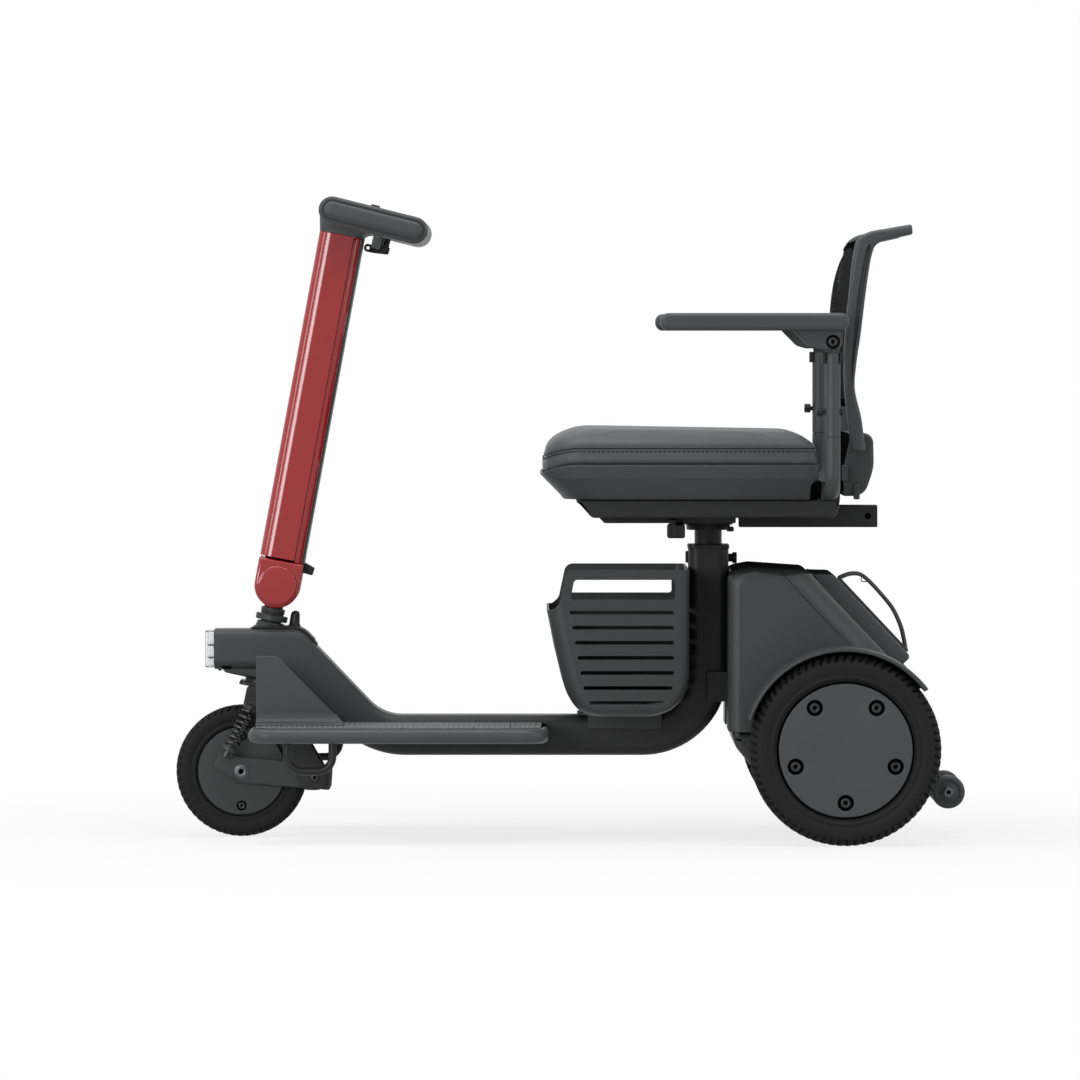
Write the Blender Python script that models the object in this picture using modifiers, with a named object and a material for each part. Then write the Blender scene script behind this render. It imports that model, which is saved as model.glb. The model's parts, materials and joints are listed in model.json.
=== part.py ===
import math

import bmesh
import bpy
from mathutils import Matrix, Vector

# Three-wheeled mobility scooter, in metres. It faces -X, its left side is -Y and it stands on z = 0.

# Clearances
GAP = 0.0003
RUN = 0.0004

# Wheels
FRONT_AXLE_X = -0.4422
FRONT_WHEEL_R = 0.0885
FRONT_TYRE_W = 0.045
FRONT_RIM_R = 0.060
FRONT_AXLE_R = 0.005
REAR_AXLE_X = 0.364
REAR_WHEEL_R = 0.127
REAR_TYRE_W = 0.062
REAR_RIM_R = 0.0935
REAR_TRACK = 0.430
REAR_AXLE_R = 0.0085

# Main frame, one beam bent from the head down to the floor and up to the seat tube
FRAME_W = 0.070
FRAME_DEPTH = 0.054
FRAME_ROUND = 0.012
HEAD_FRONT = -0.4765
HEAD_TOP = 0.280
SHOULDER_X = -0.3626
SHOULDER_R = 0.030
FRAME_SLOPE = math.radians(46.2)
FLOOR_BOTTOM = 0.110
SEAT_TUBE_X = 0.187
SEAT_TUBE_TOP = 0.393
REAR_BEND_R = 0.116

# Steering and front suspension
RAKE = math.radians(10.5)
HINGE_X = -0.394
HINGE_Z = 0.339
STEM_R = 0.014
KNUCKLE_R = 0.0265
KNUCKLE_W = 0.047
HINGE_PIN_R = 0.005
LINK_PIVOT_X = -0.343
LINK_PIVOT_Z = 0.0805
LINK_PIN_R = 0.004
ARM_GAP = 0.004
ARM_INNER = FRONT_TYRE_W / 2 + ARM_GAP
ARM_T = 0.0065
LEG_T = 0.006
SPRING_OUT = 0.0185
SPRING_Y = ARM_INNER + ARM_T + SPRING_OUT
SPRING_R = 0.0081
SPRING_WIRE_R = 0.0014
SPRING_TURNS = 6.5
SPRING_TOP = (-0.4207, 0.1787)
SPRING_FOOT = (-0.4560, 0.1160)

# Tiller, measured up its own axis from the hinge
COLUMN_DEPTH = 0.061
COLUMN_W = 0.072
COLUMN_WALL = 0.003
COLUMN_FOOT = 0.034
COLUMN_TOP = 0.480
LEVER_PIVOT = (0.0205, 0.0345)
LEVER_W = 0.024
LEVER_PIN_R = 0.0022

# Handle loop, a flat-sided bar with a hand hole each side
POD_X = 0.0417
POD_RISE = 0.0251
POD_Z = COLUMN_TOP + POD_RISE
POD_DROP = math.radians(3.5)
POD_LENGTH = 0.148
POD_T = 0.036
HANDLE_W = 0.410
HAND_HOLE = (0.084, 0.085)
HAND_HOLE_Y = 0.1275
THROTTLE_X = 0.009
THROTTLE_ROD_R = 0.0035
THROTTLE_DROP = 0.0055
KEY_X = 0.020
KEY_Y = 0.030
KEY_R = 0.003
DIAL_X = -0.006
DIAL_R = 0.006

# Deck
DECK_W = 0.425
DECK_FRONT = -0.4237
DECK_REAR = -0.0288
DECK_BOTTOM = 0.134
DECK_T = 0.0195
NOTCH_X = -0.325
NOTCH_Y = 0.105
TOE_Y = 0.1165
TOE_T = 0.004
TOE_TOP = 0.2473
LOOP_Y = 0.190
LOOP_BAR_R = 0.005

# Tail: cover, tray, drive and battery
COVER_FRONT = 0.211
COVER_W = 0.344
COVER_WALL = 0.004
COVER_BOTTOM = 0.148
COVER_TOP = 0.3725
TAIL_SLOPE = math.radians(46.7)
TAIL_TOP = (0.319, 0.3595)
TAIL_REAR = 0.4445
FENDER_GAP = 0.0035
FENDER_T = 0.005
FENDER_OUT = 0.2485
TRAY_W = 0.300
TRAY_WALL = 0.003
BATTERY_LENGTH = 0.159
BATTERY_W = 0.210
BATTERY_T = 0.072
BATTERY_PROUD = 0.022
BATTERY_START = 0.018
STRAP_W = 0.024
STRAP_T = 0.003
ROLLER_X = 0.5082
ROLLER_Z = 0.0626
ROLLER_R = 0.0225
ROLLER_W = 0.023
ROLLER_Y = 0.060
ROLLER_PIN_R = 0.004
BRACKET_Y = 0.036

# Basket
BASKET_W = 0.320
BASKET_WALL = 0.003
BASKET_TOP = 0.3635
SADDLE_T = 0.0033
SLOT_H = 0.005
SLOT_PITCH = 0.0201
SLOT_COUNT = 7

# Seat
POST_R = 0.0178
POST_BOTTOM = 0.255
POST_TRAVEL = 0.050
PIN_R = 0.003
PIN_Z = 0.3756
PIN_PULL = 0.008
FLANGE_R = 0.0295
FLANGE_BOTTOM = 0.4133
FLANGE_T = 0.0107
SPIGOT_R = 0.010
SEAT_FRONT = -0.040
SEAT_W = 0.430
PAN_BOTTOM = 0.4576
PAN_LIP = 0.4965
PAN_REAR = 0.331
CUSHION_TOP = 0.554
TRAY_BOTTOM = 0.4328
ARM_X = 0.346
ARM_Y = 0.250
ARM_TUBE_R = 0.01025
ARM_TUBE_Z = 0.469
ARM_JOINT_Z = 0.541
ARM_TRAVEL = 0.045
SPIGOT_ARM_R = 0.0082
ARM_PIVOT_Z = 0.667
ARM_PIN_R = 0.004
PAD_FRONT = 0.119
PAD_REAR = 0.367
PAD_BOTTOM = 0.682
PAD_TOP = 0.705
PAD_W = 0.045
RECEIVER_SIDE = 0.030
RECEIVER_REAR = 0.415
RECEIVER_Z = 0.432
BACK_HINGE = (0.384, 0.530)
BACK_PIN_R = 0.0075
BAND_Y = 0.190
BAND_T = 0.020
HOUSING_W = 0.330
NET_COLUMNS = 7
NET_ROWS = 8
NET_T = 0.0024
NET_BAR = 0.005

ROUND_STEPS = 16
WHEEL_STEPS = 24
ARC_STEP = math.radians(18)
FLAT = Matrix()
LEFT = -1
RIGHT = 1
SIDES = {LEFT: "left", RIGHT: "right"}

# Colour, roughness and metallic value of each finish
FINISHES = {
    "painted_steel": ((0.020, 0.021, 0.022), 0.45, 0.0),
    "plastic": ((0.045, 0.047, 0.049), 0.50, 0.0),
    "black_plastic": ((0.012, 0.012, 0.013), 0.55, 0.0),
    "rubber": ((0.016, 0.016, 0.017), 0.75, 0.0),
    "red_enamel": ((0.33, 0.035, 0.045), 0.18, 0.0),
    "vinyl": ((0.055, 0.059, 0.062), 0.48, 0.0),
    "net": ((0.018, 0.018, 0.019), 0.80, 0.0),
    "clear": ((0.85, 0.88, 0.90), 0.08, 0.0),
    "steel": ((0.30, 0.30, 0.31), 0.35, 1.0),
}

for old in list(bpy.data.objects):
    bpy.data.objects.remove(old, do_unlink=True)

parts = bpy.data.collections.new("mobility_scooter")
cutters = bpy.data.collections.new("cutters")
bpy.context.scene.collection.children.link(parts)
bpy.context.scene.collection.children.link(cutters)


def finish_of(name):
    made = bpy.data.materials.get(name)
    if made:
        return made
    made = bpy.data.materials.new(name)
    made.use_nodes = True
    colour, roughness, metallic = FINISHES[name]
    shader = made.node_tree.nodes["Principled BSDF"]
    shader.inputs["Base Color"].default_value = (*colour, 1.0)
    shader.inputs["Roughness"].default_value = roughness
    shader.inputs["Metallic"].default_value = metallic
    return made


def hole(radius, steps=ROUND_STEPS):
    # A faceted hole whose flats still clear a shaft of this radius
    return (radius + RUN) / math.cos(math.pi / steps)


def rounded(corners):
    # Corners are (x, y, radius); each radius becomes an arc
    points = []
    for i, (x, y, radius) in enumerate(corners):
        corner = Vector((x, y))
        if radius == 0:
            points.append(corner)
            continue
        before = (Vector(corners[i - 1][:2]) - corner).normalized()
        after = (Vector(corners[(i + 1) % len(corners)][:2]) - corner).normalized()
        half = before.angle(after) / 2
        centre = corner + (before + after).normalized() * radius / math.sin(half)
        start = corner + before * radius / math.tan(half) - centre
        end = corner + after * radius / math.tan(half) - centre
        turn = math.atan2(start.x * end.y - start.y * end.x, start.dot(end))
        steps = max(2, round(abs(turn) / ARC_STEP))
        for k in range(steps + 1):
            points.append(centre + Matrix.Rotation(turn * k / steps, 2) @ start)
    return points


def arc(centre, radius, start, end, steps):
    points = []
    for k in range(steps + 1):
        angle = start + (end - start) * k / steps
        points.append(Vector(centre) + radius * Vector((math.cos(angle), math.sin(angle))))
    return points


def inset(points, depth):
    # A closed outline moved inwards
    count = len(points)
    area = sum(points[i - 1].cross(points[i]) for i in range(count))
    turn = 1 if area > 0 else -1
    moved = []
    for i in range(count):
        into = (points[i] - points[i - 1]).normalized()
        out = (points[(i + 1) % count] - points[i]).normalized()
        normal_in = Vector((-into.y, into.x)) * turn
        normal_out = Vector((-out.y, out.x)) * turn
        middle = (normal_in + normal_out).normalized()
        moved.append(points[i] + middle * depth / max(middle.dot(normal_in), 0.3))
    return moved


def ribbon(path, thickness):
    # The closed outline of a band of even thickness along an open path
    left = []
    right = []
    for i, point in enumerate(path):
        along = (path[min(i + 1, len(path) - 1)] - path[max(i - 1, 0)]).normalized()
        across = Vector((-along.y, along.x)) * thickness / 2
        left.append(point + across)
        right.append(point - across)
    return left + right[::-1]


def add(name, mesh, matrix=FLAT):
    made = bpy.data.objects.new(name, mesh)
    made.matrix_world = matrix
    parts.objects.link(made)
    return made


def from_bmesh(name, shape, matrix=FLAT):
    bmesh.ops.recalc_face_normals(shape, faces=shape.faces)
    mesh = bpy.data.meshes.new(name)
    shape.to_mesh(mesh)
    shape.free()
    return add(name, mesh, matrix)


def meshed(curve, flat):
    # A curve made a welded mesh, with the flat faces of an outline made whole again
    parts.objects.link(curve)
    bpy.context.view_layer.update()
    graph = bpy.context.evaluated_depsgraph_get()
    mesh = bpy.data.meshes.new_from_object(curve.evaluated_get(graph))
    matrix = curve.matrix_world.copy()
    name = curve.name
    bpy.data.objects.remove(curve, do_unlink=True)
    shape = bmesh.new()
    shape.from_mesh(mesh)
    bmesh.ops.remove_doubles(shape, verts=shape.verts, dist=1e-6)
    if flat:
        bmesh.ops.dissolve_limit(shape, angle_limit=0.001, verts=shape.verts, edges=shape.edges)
    made = from_bmesh(name, shape, matrix)
    made.name = name
    return made


def outline_plate(name, outline, thickness, matrix, holes=()):
    data = bpy.data.curves.new(name, "CURVE")
    data.dimensions = "2D"
    data.fill_mode = "BOTH"
    data.extrude = thickness / 2
    for loop in (outline, *holes):
        spline = data.splines.new("POLY")
        spline.points.add(len(loop) - 1)
        for knot, (x, y) in zip(spline.points, loop):
            knot.co = (x, y, 0, 1)
        spline.use_cyclic_u = True
    curve = bpy.data.objects.new(name, data)
    curve.matrix_world = matrix
    return meshed(curve, flat=not holes)


def side_plate(name, outline, y0, y1, base=FLAT, holes=()):
    # An outline in X and Z, as seen from the side, from y0 to y1
    place = base @ Matrix.Translation((0, (y0 + y1) / 2, 0)) @ Matrix.Rotation(math.pi / 2, 4, "X")
    return outline_plate(name, outline, abs(y1 - y0), place, holes)


def flat_plate(name, outline, z0, z1, base=FLAT, holes=()):
    # An outline in X and Y, as seen from above, from z0 to z1
    place = base @ Matrix.Translation((0, 0, (z0 + z1) / 2))
    return outline_plate(name, outline, z1 - z0, place, holes)


def box(name, low, high, base=FLAT):
    low = Vector(low)
    high = Vector(high)
    shape = bmesh.new()
    bmesh.ops.create_cube(shape, size=1.0, matrix=Matrix.Diagonal((*(high - low), 1)))
    return from_bmesh(name, shape, base @ Matrix.Translation((low + high) / 2))


def side_box(name, side, x, y, z, base=FLAT):
    # A box on one side, with y measured outwards from the middle
    across = sorted((side * y[0], side * y[1]))
    return box(name, (x[0], across[0], z[0]), (x[1], across[1], z[1]), base)


def cylinder(name, start, end, radius, base=FLAT, steps=ROUND_STEPS):
    start = Vector(start)
    along = Vector(end) - start
    shape = bmesh.new()
    bmesh.ops.create_cone(
        shape, cap_ends=True, segments=steps, radius1=radius, radius2=radius, depth=along.length
    )
    turn = along.to_track_quat("Z", "Y").to_matrix().to_4x4()
    made = from_bmesh(name, shape, base @ Matrix.Translation(start + along / 2) @ turn)
    return smooth(made)


def turned(name, profile, base, steps=WHEEL_STEPS):
    # A closed profile of (radius, height), down its outer side first, spun about the base's Z axis
    mesh = bpy.data.meshes.new(name)
    count = len(profile)
    mesh.from_pydata([(r, 0, z) for r, z in profile], [(i, (i + 1) % count) for i in range(count)], [])
    made = add(name, mesh, base)
    screw = made.modifiers.new("turn", "SCREW")
    screw.steps = steps
    screw.render_steps = steps
    screw.use_merge_vertices = True
    screw.merge_threshold = 1e-5
    return made


def tube(name, path, radius, base=FLAT, resolution=2):
    data = bpy.data.curves.new(name, "CURVE")
    data.dimensions = "3D"
    data.bevel_depth = radius
    data.bevel_resolution = resolution
    data.use_fill_caps = True
    spline = data.splines.new("POLY")
    spline.points.add(len(path) - 1)
    for knot, point in zip(spline.points, path):
        knot.co = (*point, 1)
    curve = bpy.data.objects.new(name, data)
    curve.matrix_world = base
    return smooth(meshed(curve, flat=False))


def loft(name, sections):
    # Sections are equal rings of points; the first and the last are closed
    shape = bmesh.new()
    rings = [[shape.verts.new(point) for point in section] for section in sections]
    count = len(rings[0])
    for lower, upper in zip(rings, rings[1:]):
        for i in range(count):
            shape.faces.new((lower[i - 1], lower[i], upper[i], upper[i - 1]))
    shape.faces.new(rings[0])
    shape.faces.new(rings[-1])
    return from_bmesh(name, shape)


def smooth(made, angle=35):
    made.data.shade_smooth()
    made.data.set_sharp_from_angle(angle=math.radians(angle))
    return made


def bevel(made, width, segments=2):
    edge = made.modifiers.new("edges", "BEVEL")
    edge.width = width
    edge.segments = segments
    edge.limit_method = "ANGLE"
    edge.angle_limit = math.radians(50)
    return made


def combine(made, others, operation):
    for other in others:
        parts.objects.unlink(other)
        cutters.objects.link(other)
        other.hide_render = True
        other.display_type = "WIRE"
        step = made.modifiers.new(operation.lower(), "BOOLEAN")
        step.operation = operation
        step.solver = "EXACT"
        step.object = other
    return made


def cut(made, *others):
    return combine(made, others, "DIFFERENCE")


def join(made, *others):
    return combine(made, others, "UNION")


def body(name, place):
    holder = bpy.data.objects.new("axis_" + name, None)
    holder.location = place
    parts.objects.link(holder)
    bpy.context.view_layer.update()
    return holder


def put(made, finish, holder):
    made.data.materials.append(finish_of(finish))
    world = made.matrix_world.copy()
    made.parent = holder
    made.matrix_parent_inverse = holder.matrix_world.inverted()
    made.matrix_world = world
    return made


def lathe_base(x, y, z, side):
    # A turning axis across the scooter, its Z pointing outwards on that side
    return Matrix.Translation((x, y, z)) @ Matrix.Rotation(-side * math.pi / 2, 4, "X")


def on_stem(distance):
    # A point on the steering axis, measured up from the tiller hinge
    return Vector((HINGE_X + distance * math.sin(RAKE), 0, HINGE_Z + distance * math.cos(RAKE)))


STEER = Matrix.Translation((HINGE_X, 0, HINGE_Z)) @ Matrix.Rotation(RAKE, 4, "Y")
POD = STEER @ Matrix.Translation((POD_X, 0, POD_Z)) @ Matrix.Rotation(POD_DROP, 4, "Y")
HEAD_BOTTOM = HEAD_TOP - FRAME_DEPTH
FLOOR_TOP = FLOOR_BOTTOM + FRAME_DEPTH
DECK_TOP = DECK_BOTTOM + DECK_T
TUBE_FRONT = SEAT_TUBE_X - FRAME_DEPTH / 2
TUBE_REAR = SEAT_TUBE_X + FRAME_DEPTH / 2
LEG_INNER = ARM_INNER + ARM_T + 0.001
LEG_OUTER = LEG_INNER + LEG_T
HALF_POD = POD_T / 2
SADDLE_TOP = FLOOR_TOP + GAP + SADDLE_T
FLANGE_TOP = FLANGE_BOTTOM + FLANGE_T
TAIL = Matrix.Translation((TAIL_TOP[0], 0, TAIL_TOP[1])) @ Matrix.Rotation(TAIL_SLOPE, 4, "Y")

chassis = body("chassis", (0, 0, 0))
steering = body("steering", on_stem(0))
front_arm = body("front_arm", (LINK_PIVOT_X, 0, LINK_PIVOT_Z))
front_wheel = body("front_wheel", (FRONT_AXLE_X, 0, FRONT_WHEEL_R))
tiller = body("tiller", (HINGE_X, 0, HINGE_Z))
seat_post_body = body("seat_post", (SEAT_TUBE_X, 0, POST_BOTTOM))
seat = body("seat", (SEAT_TUBE_X, 0, FLANGE_TOP))
backrest = body("backrest", (BACK_HINGE[0], 0, BACK_HINGE[1]))
battery_body = body("battery", (TAIL_TOP[0], 0, TAIL_TOP[1]))
basket_body = body("basket", (0, 0, SADDLE_TOP))


def make_main_frame():
    miter = FRAME_DEPTH * math.tan(FRAME_SLOPE / 2)
    landing = SHOULDER_X + (HEAD_TOP - FLOOR_TOP) / math.tan(FRAME_SLOPE)
    outline = rounded([
        (HEAD_FRONT, HEAD_BOTTOM, 0.006),
        (HEAD_FRONT, HEAD_TOP, 0.006),
        (SHOULDER_X, HEAD_TOP, SHOULDER_R),
        (landing, FLOOR_TOP, 0.060),
        (TUBE_FRONT, FLOOR_TOP, REAR_BEND_R - FRAME_DEPTH),
        (TUBE_FRONT, SEAT_TUBE_TOP, 0),
        (TUBE_REAR, SEAT_TUBE_TOP, 0),
        (TUBE_REAR, FLOOR_BOTTOM, REAR_BEND_R),
        (landing - miter, FLOOR_BOTTOM, 0.125),
        (SHOULDER_X - miter, HEAD_BOTTOM, 0.040),
    ])
    frame = side_plate("main_frame", outline, -FRAME_W / 2, FRAME_W / 2)
    bevel(frame, FRAME_ROUND)
    head_bore = cylinder("head_bore", on_stem(-0.16), on_stem(-0.03), hole(STEM_R))
    post_floor = (SEAT_TUBE_X, 0, POST_BOTTOM - 0.003)
    post_bore = cylinder("post_bore", post_floor, (SEAT_TUBE_X, 0, SEAT_TUBE_TOP + 0.01), hole(POST_R))
    pin_bore = cylinder("pin_bore", (SEAT_TUBE_X, 0, PIN_Z), (TUBE_REAR + 0.01, 0, PIN_Z), hole(PIN_R))
    cut(frame, head_bore, post_bore, pin_bore)
    put(frame, "painted_steel", chassis)


def make_head_cap():
    lift = HEAD_TOP + GAP
    cap_t = 0.004
    flat_end = SHOULDER_X - SHOULDER_R * math.tan(FRAME_SLOPE / 2)
    centre = (flat_end, HEAD_TOP - SHOULDER_R)
    tail = 0.010 * Vector((math.cos(FRAME_SLOPE), -math.sin(FRAME_SLOPE)))
    top = math.pi / 2
    steps = round(FRAME_SLOPE / ARC_STEP)
    under = arc(centre, SHOULDER_R + GAP, top, top - FRAME_SLOPE, steps)
    over = arc(centre, SHOULDER_R + GAP + cap_t, top, top - FRAME_SLOPE, steps)
    collar_x = on_stem(0).x - (HINGE_Z - lift) * math.tan(RAKE)
    collar_r = STEM_R + 0.0075
    front = Vector((collar_x - collar_r - 0.003, lift))
    rise = Vector((0, cap_t))
    outline = [front, *under, under[-1] + tail, over[-1] + tail * 0.8, *over[::-1], front + rise]
    cap = side_plate("head_cap", outline, -0.024, 0.024)
    peg = rounded([
        (flat_end - 0.003, lift + 0.001, 0),
        (flat_end - 0.001, lift + 0.0240, 0.0055),
        (flat_end + 0.0115, lift + 0.0235, 0.0055),
        (flat_end + 0.0115, lift + 0.001, 0),
    ])
    collar = cylinder("collar", (collar_x, 0, lift), (collar_x, 0, lift + 0.0064), collar_r)
    join(cap, side_plate("peg", peg, -0.007, 0.007), collar)
    cut(cap, cylinder("cap_bore", on_stem(-0.09), on_stem(-0.03), hole(STEM_R)))
    put(cap, "black_plastic", chassis)


def make_headlight():
    lens_t = 0.002
    front = HEAD_FRONT - 0.0135
    back = HEAD_FRONT - 0.0015
    low = HEAD_BOTTOM + 0.0025
    high = HEAD_TOP - 0.0020
    half = FRAME_W / 2 - 0.002
    lens = box("headlight_lens", (front, -half, low), (back, half, high))
    bevel(lens, 0.003)
    inner = half - lens_t
    hollow = box("lens_hollow", (front + lens_t, -inner, low + lens_t), (back + 0.01, inner, high - lens_t))
    put(cut(lens, hollow), "clear", chassis)
    half = inner - RUN
    low = low + lens_t + RUN
    high = high - lens_t - RUN
    reflector = box("headlight_reflector", (front + 0.006, -half, low), (HEAD_FRONT - GAP, half, high))
    bowl = cylinder("bowl", (front, 0, (low + high) / 2), (back - 0.003, 0, (low + high) / 2), 0.019)
    put(cut(reflector, bowl), "steel", chassis)


def make_deck(side):
    half = DECK_W / 2
    inner = FRAME_W / 2 + GAP
    corners = [
        (DECK_FRONT, NOTCH_Y, 0.012),
        (DECK_FRONT, half, 0.030),
        (DECK_REAR, half, 0.030),
        (DECK_REAR, inner, 0),
        (NOTCH_X, inner, 0),
        (NOTCH_X, NOTCH_Y, 0.020),
    ]
    outline = rounded([(x, side * y, r) for x, y, r in corners])
    deck = flat_plate("deck_" + SIDES[side], outline, DECK_BOTTOM, DECK_TOP)
    put(bevel(deck, 0.005), "plastic", chassis)

    foot = DECK_TOP + GAP
    rear_foot = NOTCH_X + 0.020
    outline = rounded([
        (DECK_FRONT + 0.0045, foot, 0),
        (DECK_FRONT + 0.0045, TOE_TOP, 0.003),
        (-0.3912, TOE_TOP, 0.012),
        (-0.3138, DECK_TOP + 0.0144, 0.015),
        (rear_foot, foot + 0.005, 0),
        (rear_foot, foot, 0),
    ])
    wall = side_plate("toe_guard_" + SIDES[side], outline, side * TOE_Y, side * (TOE_Y + TOE_T))
    sole = side_box(
        "sole", side, (DECK_FRONT + 0.0045, rear_foot), (TOE_Y + TOE_T / 2, TOE_Y + 0.018),
        (foot, foot + TOE_T)
    )
    put(join(wall, sole), "plastic", chassis)

    top = DECK_BOTTOM - GAP
    low = 0.0918 + LOOP_BAR_R
    path = rounded([(-0.3758, low, 0.018), (-0.3155, low, 0.018), (-0.3155, top, 0), (-0.3758, top, 0)])
    path = path[-1:] + path[:-1]
    bar = tube("guard_loop_" + SIDES[side], [(x, side * LOOP_Y, z) for x, z in path], LOOP_BAR_R)
    put(bar, "painted_steel", chassis)


def cover_outline():
    rear_z = TAIL_TOP[1] - (TAIL_REAR - TAIL_TOP[0]) * math.tan(TAIL_SLOPE)
    return rounded([
        (COVER_FRONT, COVER_BOTTOM, 0),
        (COVER_FRONT, COVER_TOP - 0.004, 0.016),
        (COVER_FRONT + 0.030, COVER_TOP, 0.030),
        (TAIL_TOP[0] - 0.007, TAIL_TOP[1] + 0.008, 0.016),
        (TAIL_REAR, rear_z, 0.020),
        (TAIL_REAR, COVER_BOTTOM, 0),
    ])


def make_rear_cover():
    half = COVER_W / 2
    outline = cover_outline()
    cover = side_plate("rear_cover", outline, -half, half)
    bevel(cover, 0.010)
    hollow = inset(outline, COVER_WALL)
    hollow = [Vector((x, z if z > COVER_BOTTOM + 0.01 else COVER_BOTTOM - 0.02)) for x, z in hollow]
    inner = half - COVER_WALL
    cut(cover, bevel(side_plate("cover_hollow", hollow, -inner, inner), 0.006))
    slot = FRAME_W / 2 + 0.012
    cut(cover, box("tube_slot", (0.19, -slot, 0.10), (TUBE_REAR + 0.003, slot, SEAT_TUBE_TOP)))
    knob_way = TUBE_REAR + PIN_PULL + 0.0145
    cut(cover, box("knob_slot", (0.19, -0.0095, PIN_Z - 0.012), (knob_way, 0.0095, SEAT_TUBE_TOP)))
    bay = Vector((BATTERY_LENGTH, BATTERY_W, 0)) / 2 + Vector((0.002, 0.002, 0.03))
    middle = Vector((BATTERY_START + BATTERY_LENGTH / 2, 0, 0))
    cut(cover, box("battery_bay", middle - bay, middle + bay, TAIL))
    inner_r = REAR_WHEEL_R + FENDER_GAP
    start = math.radians(163)
    end = math.radians(34)
    axle = (REAR_AXLE_X, REAR_WHEEL_R)
    arch = arc(axle, inner_r, start, end, 16) + arc(axle, inner_r + FENDER_T, end, start, 16)
    for side in SIDES:
        join(cover, side_plate("fender", arch, side * (half - COVER_WALL - 0.0033), side * FENDER_OUT))
    put(cover, "plastic", chassis)


def make_tray_and_drive():
    half = TRAY_W / 2
    top = COVER_BOTTOM - GAP
    outline = rounded([
        (COVER_FRONT + 0.0040, top, 0),
        (COVER_FRONT + 0.0095, 0.127, 0.020),
        (COVER_FRONT + 0.0510, 0.0765, 0.030),
        (COVER_FRONT + 0.0890, 0.0640, 0.030),
        (TAIL_REAR - 0.030, 0.0640, 0.030),
        (TAIL_REAR, 0.0950, 0.020),
        (TAIL_REAR, top, 0),
    ])
    tray = side_plate("underbody", outline, -half, half)
    hollow = inset(outline, TRAY_WALL)
    hollow = [Vector((x, z if z < top - 0.01 else top + 0.01)) for x, z in hollow]
    cut(tray, side_plate("tray_hollow", hollow, -half + TRAY_WALL, half - TRAY_WALL))
    axle = Vector((REAR_AXLE_X, 0, REAR_WHEEL_R))
    reach = Vector((0, half + 0.01, 0))
    cut(tray, cylinder("axle_ways", axle - reach, axle + reach, REAR_AXLE_R + 0.004))
    put(tray, "black_plastic", chassis)

    reach = Vector((0, half - TRAY_WALL - 0.002, 0))
    drive = cylinder("drive_unit", axle - reach, axle + reach, 0.026)
    case = Vector((0, 0.040, 0))
    motor = Vector((REAR_AXLE_X - 0.089, 0, REAR_WHEEL_R + 0.008))
    can = Vector((0, 0.075, 0))
    coupling_x = TUBE_REAR + 0.0187
    arm = box("mount_arm", (coupling_x + GAP, -0.028, 0.160), (REAR_AXLE_X + 0.006, 0.028, 0.200))
    join(
        drive,
        cylinder("gear_case", axle - case, axle + case, 0.048),
        cylinder("motor_can", motor - can, motor + can, 0.036),
        arm,
    )
    for side in SIDES:
        inside = axle + Vector((0, side * 0.055, 0))
        cut(drive, cylinder("axle_bore", inside, axle + Vector((0, side * half, 0)), hole(REAR_AXLE_R)))
    put(drive, "steel", chassis)

    cheek = FRAME_W / 2 + GAP
    block = box(
        "rear_coupling", (TUBE_REAR + GAP, -cheek - 0.009, 0.172), (coupling_x, cheek + 0.009, 0.2235)
    )
    for side in SIDES:
        x = (SEAT_TUBE_X - 0.003, TUBE_REAR + 0.002)
        join(block, side_box("cheek", side, x, (cheek, cheek + 0.009), (0.183, 0.2235)))
    put(block, "painted_steel", chassis)

    front = COVER_FRONT + COVER_WALL + GAP
    unit = box("controller", (front, 0.055, 0.245), (front + 0.036, 0.145, 0.325))
    put(bevel(unit, 0.003), "black_plastic", chassis)


def make_anti_tip():
    rear = TAIL_REAR + GAP
    outline = rounded([
        (rear, 0.125, 0),
        (rear, 0.085, 0),
        (ROLLER_X - 0.004, ROLLER_Z - 0.010, 0.008),
        (ROLLER_X + 0.010, ROLLER_Z - 0.002, 0.008),
        (ROLLER_X + 0.002, ROLLER_Z + 0.011, 0.008),
    ])
    bracket = box("anti_tip_bracket", (rear, -BRACKET_Y, 0.085), (rear + 0.004, BRACKET_Y, 0.125))
    reach = ROLLER_Y + ROLLER_W / 2 + 0.001
    pin = cylinder("roller_pin", (ROLLER_X, -reach, ROLLER_Z), (ROLLER_X, reach, ROLLER_Z), ROLLER_PIN_R)
    join(bracket, pin)
    for side in SIDES:
        join(bracket, side_plate("stay", outline, side * (BRACKET_Y - 0.006), side * BRACKET_Y))
        head = (ROLLER_X, side * (reach - 0.0005), ROLLER_Z)
        tip = (ROLLER_X, side * (reach + 0.003), ROLLER_Z)
        join(bracket, cylinder("pin_head", head, tip, 0.007))
    put(bracket, "painted_steel", chassis)
    for side, word in SIDES.items():
        holder = body("roller_" + word, (ROLLER_X, side * ROLLER_Y, ROLLER_Z))
        half = ROLLER_W / 2
        bore = hole(ROLLER_PIN_R)
        profile = [
            (ROLLER_R - 0.004, half), (ROLLER_R, half - 0.005), (ROLLER_R, -half + 0.005),
            (ROLLER_R - 0.004, -half), (bore, -half), (bore, half),
        ]
        roller = turned("anti_tip_roller_" + word, profile, lathe_base(*holder.location, side), 20)
        put(smooth(roller), "rubber", holder)


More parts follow.
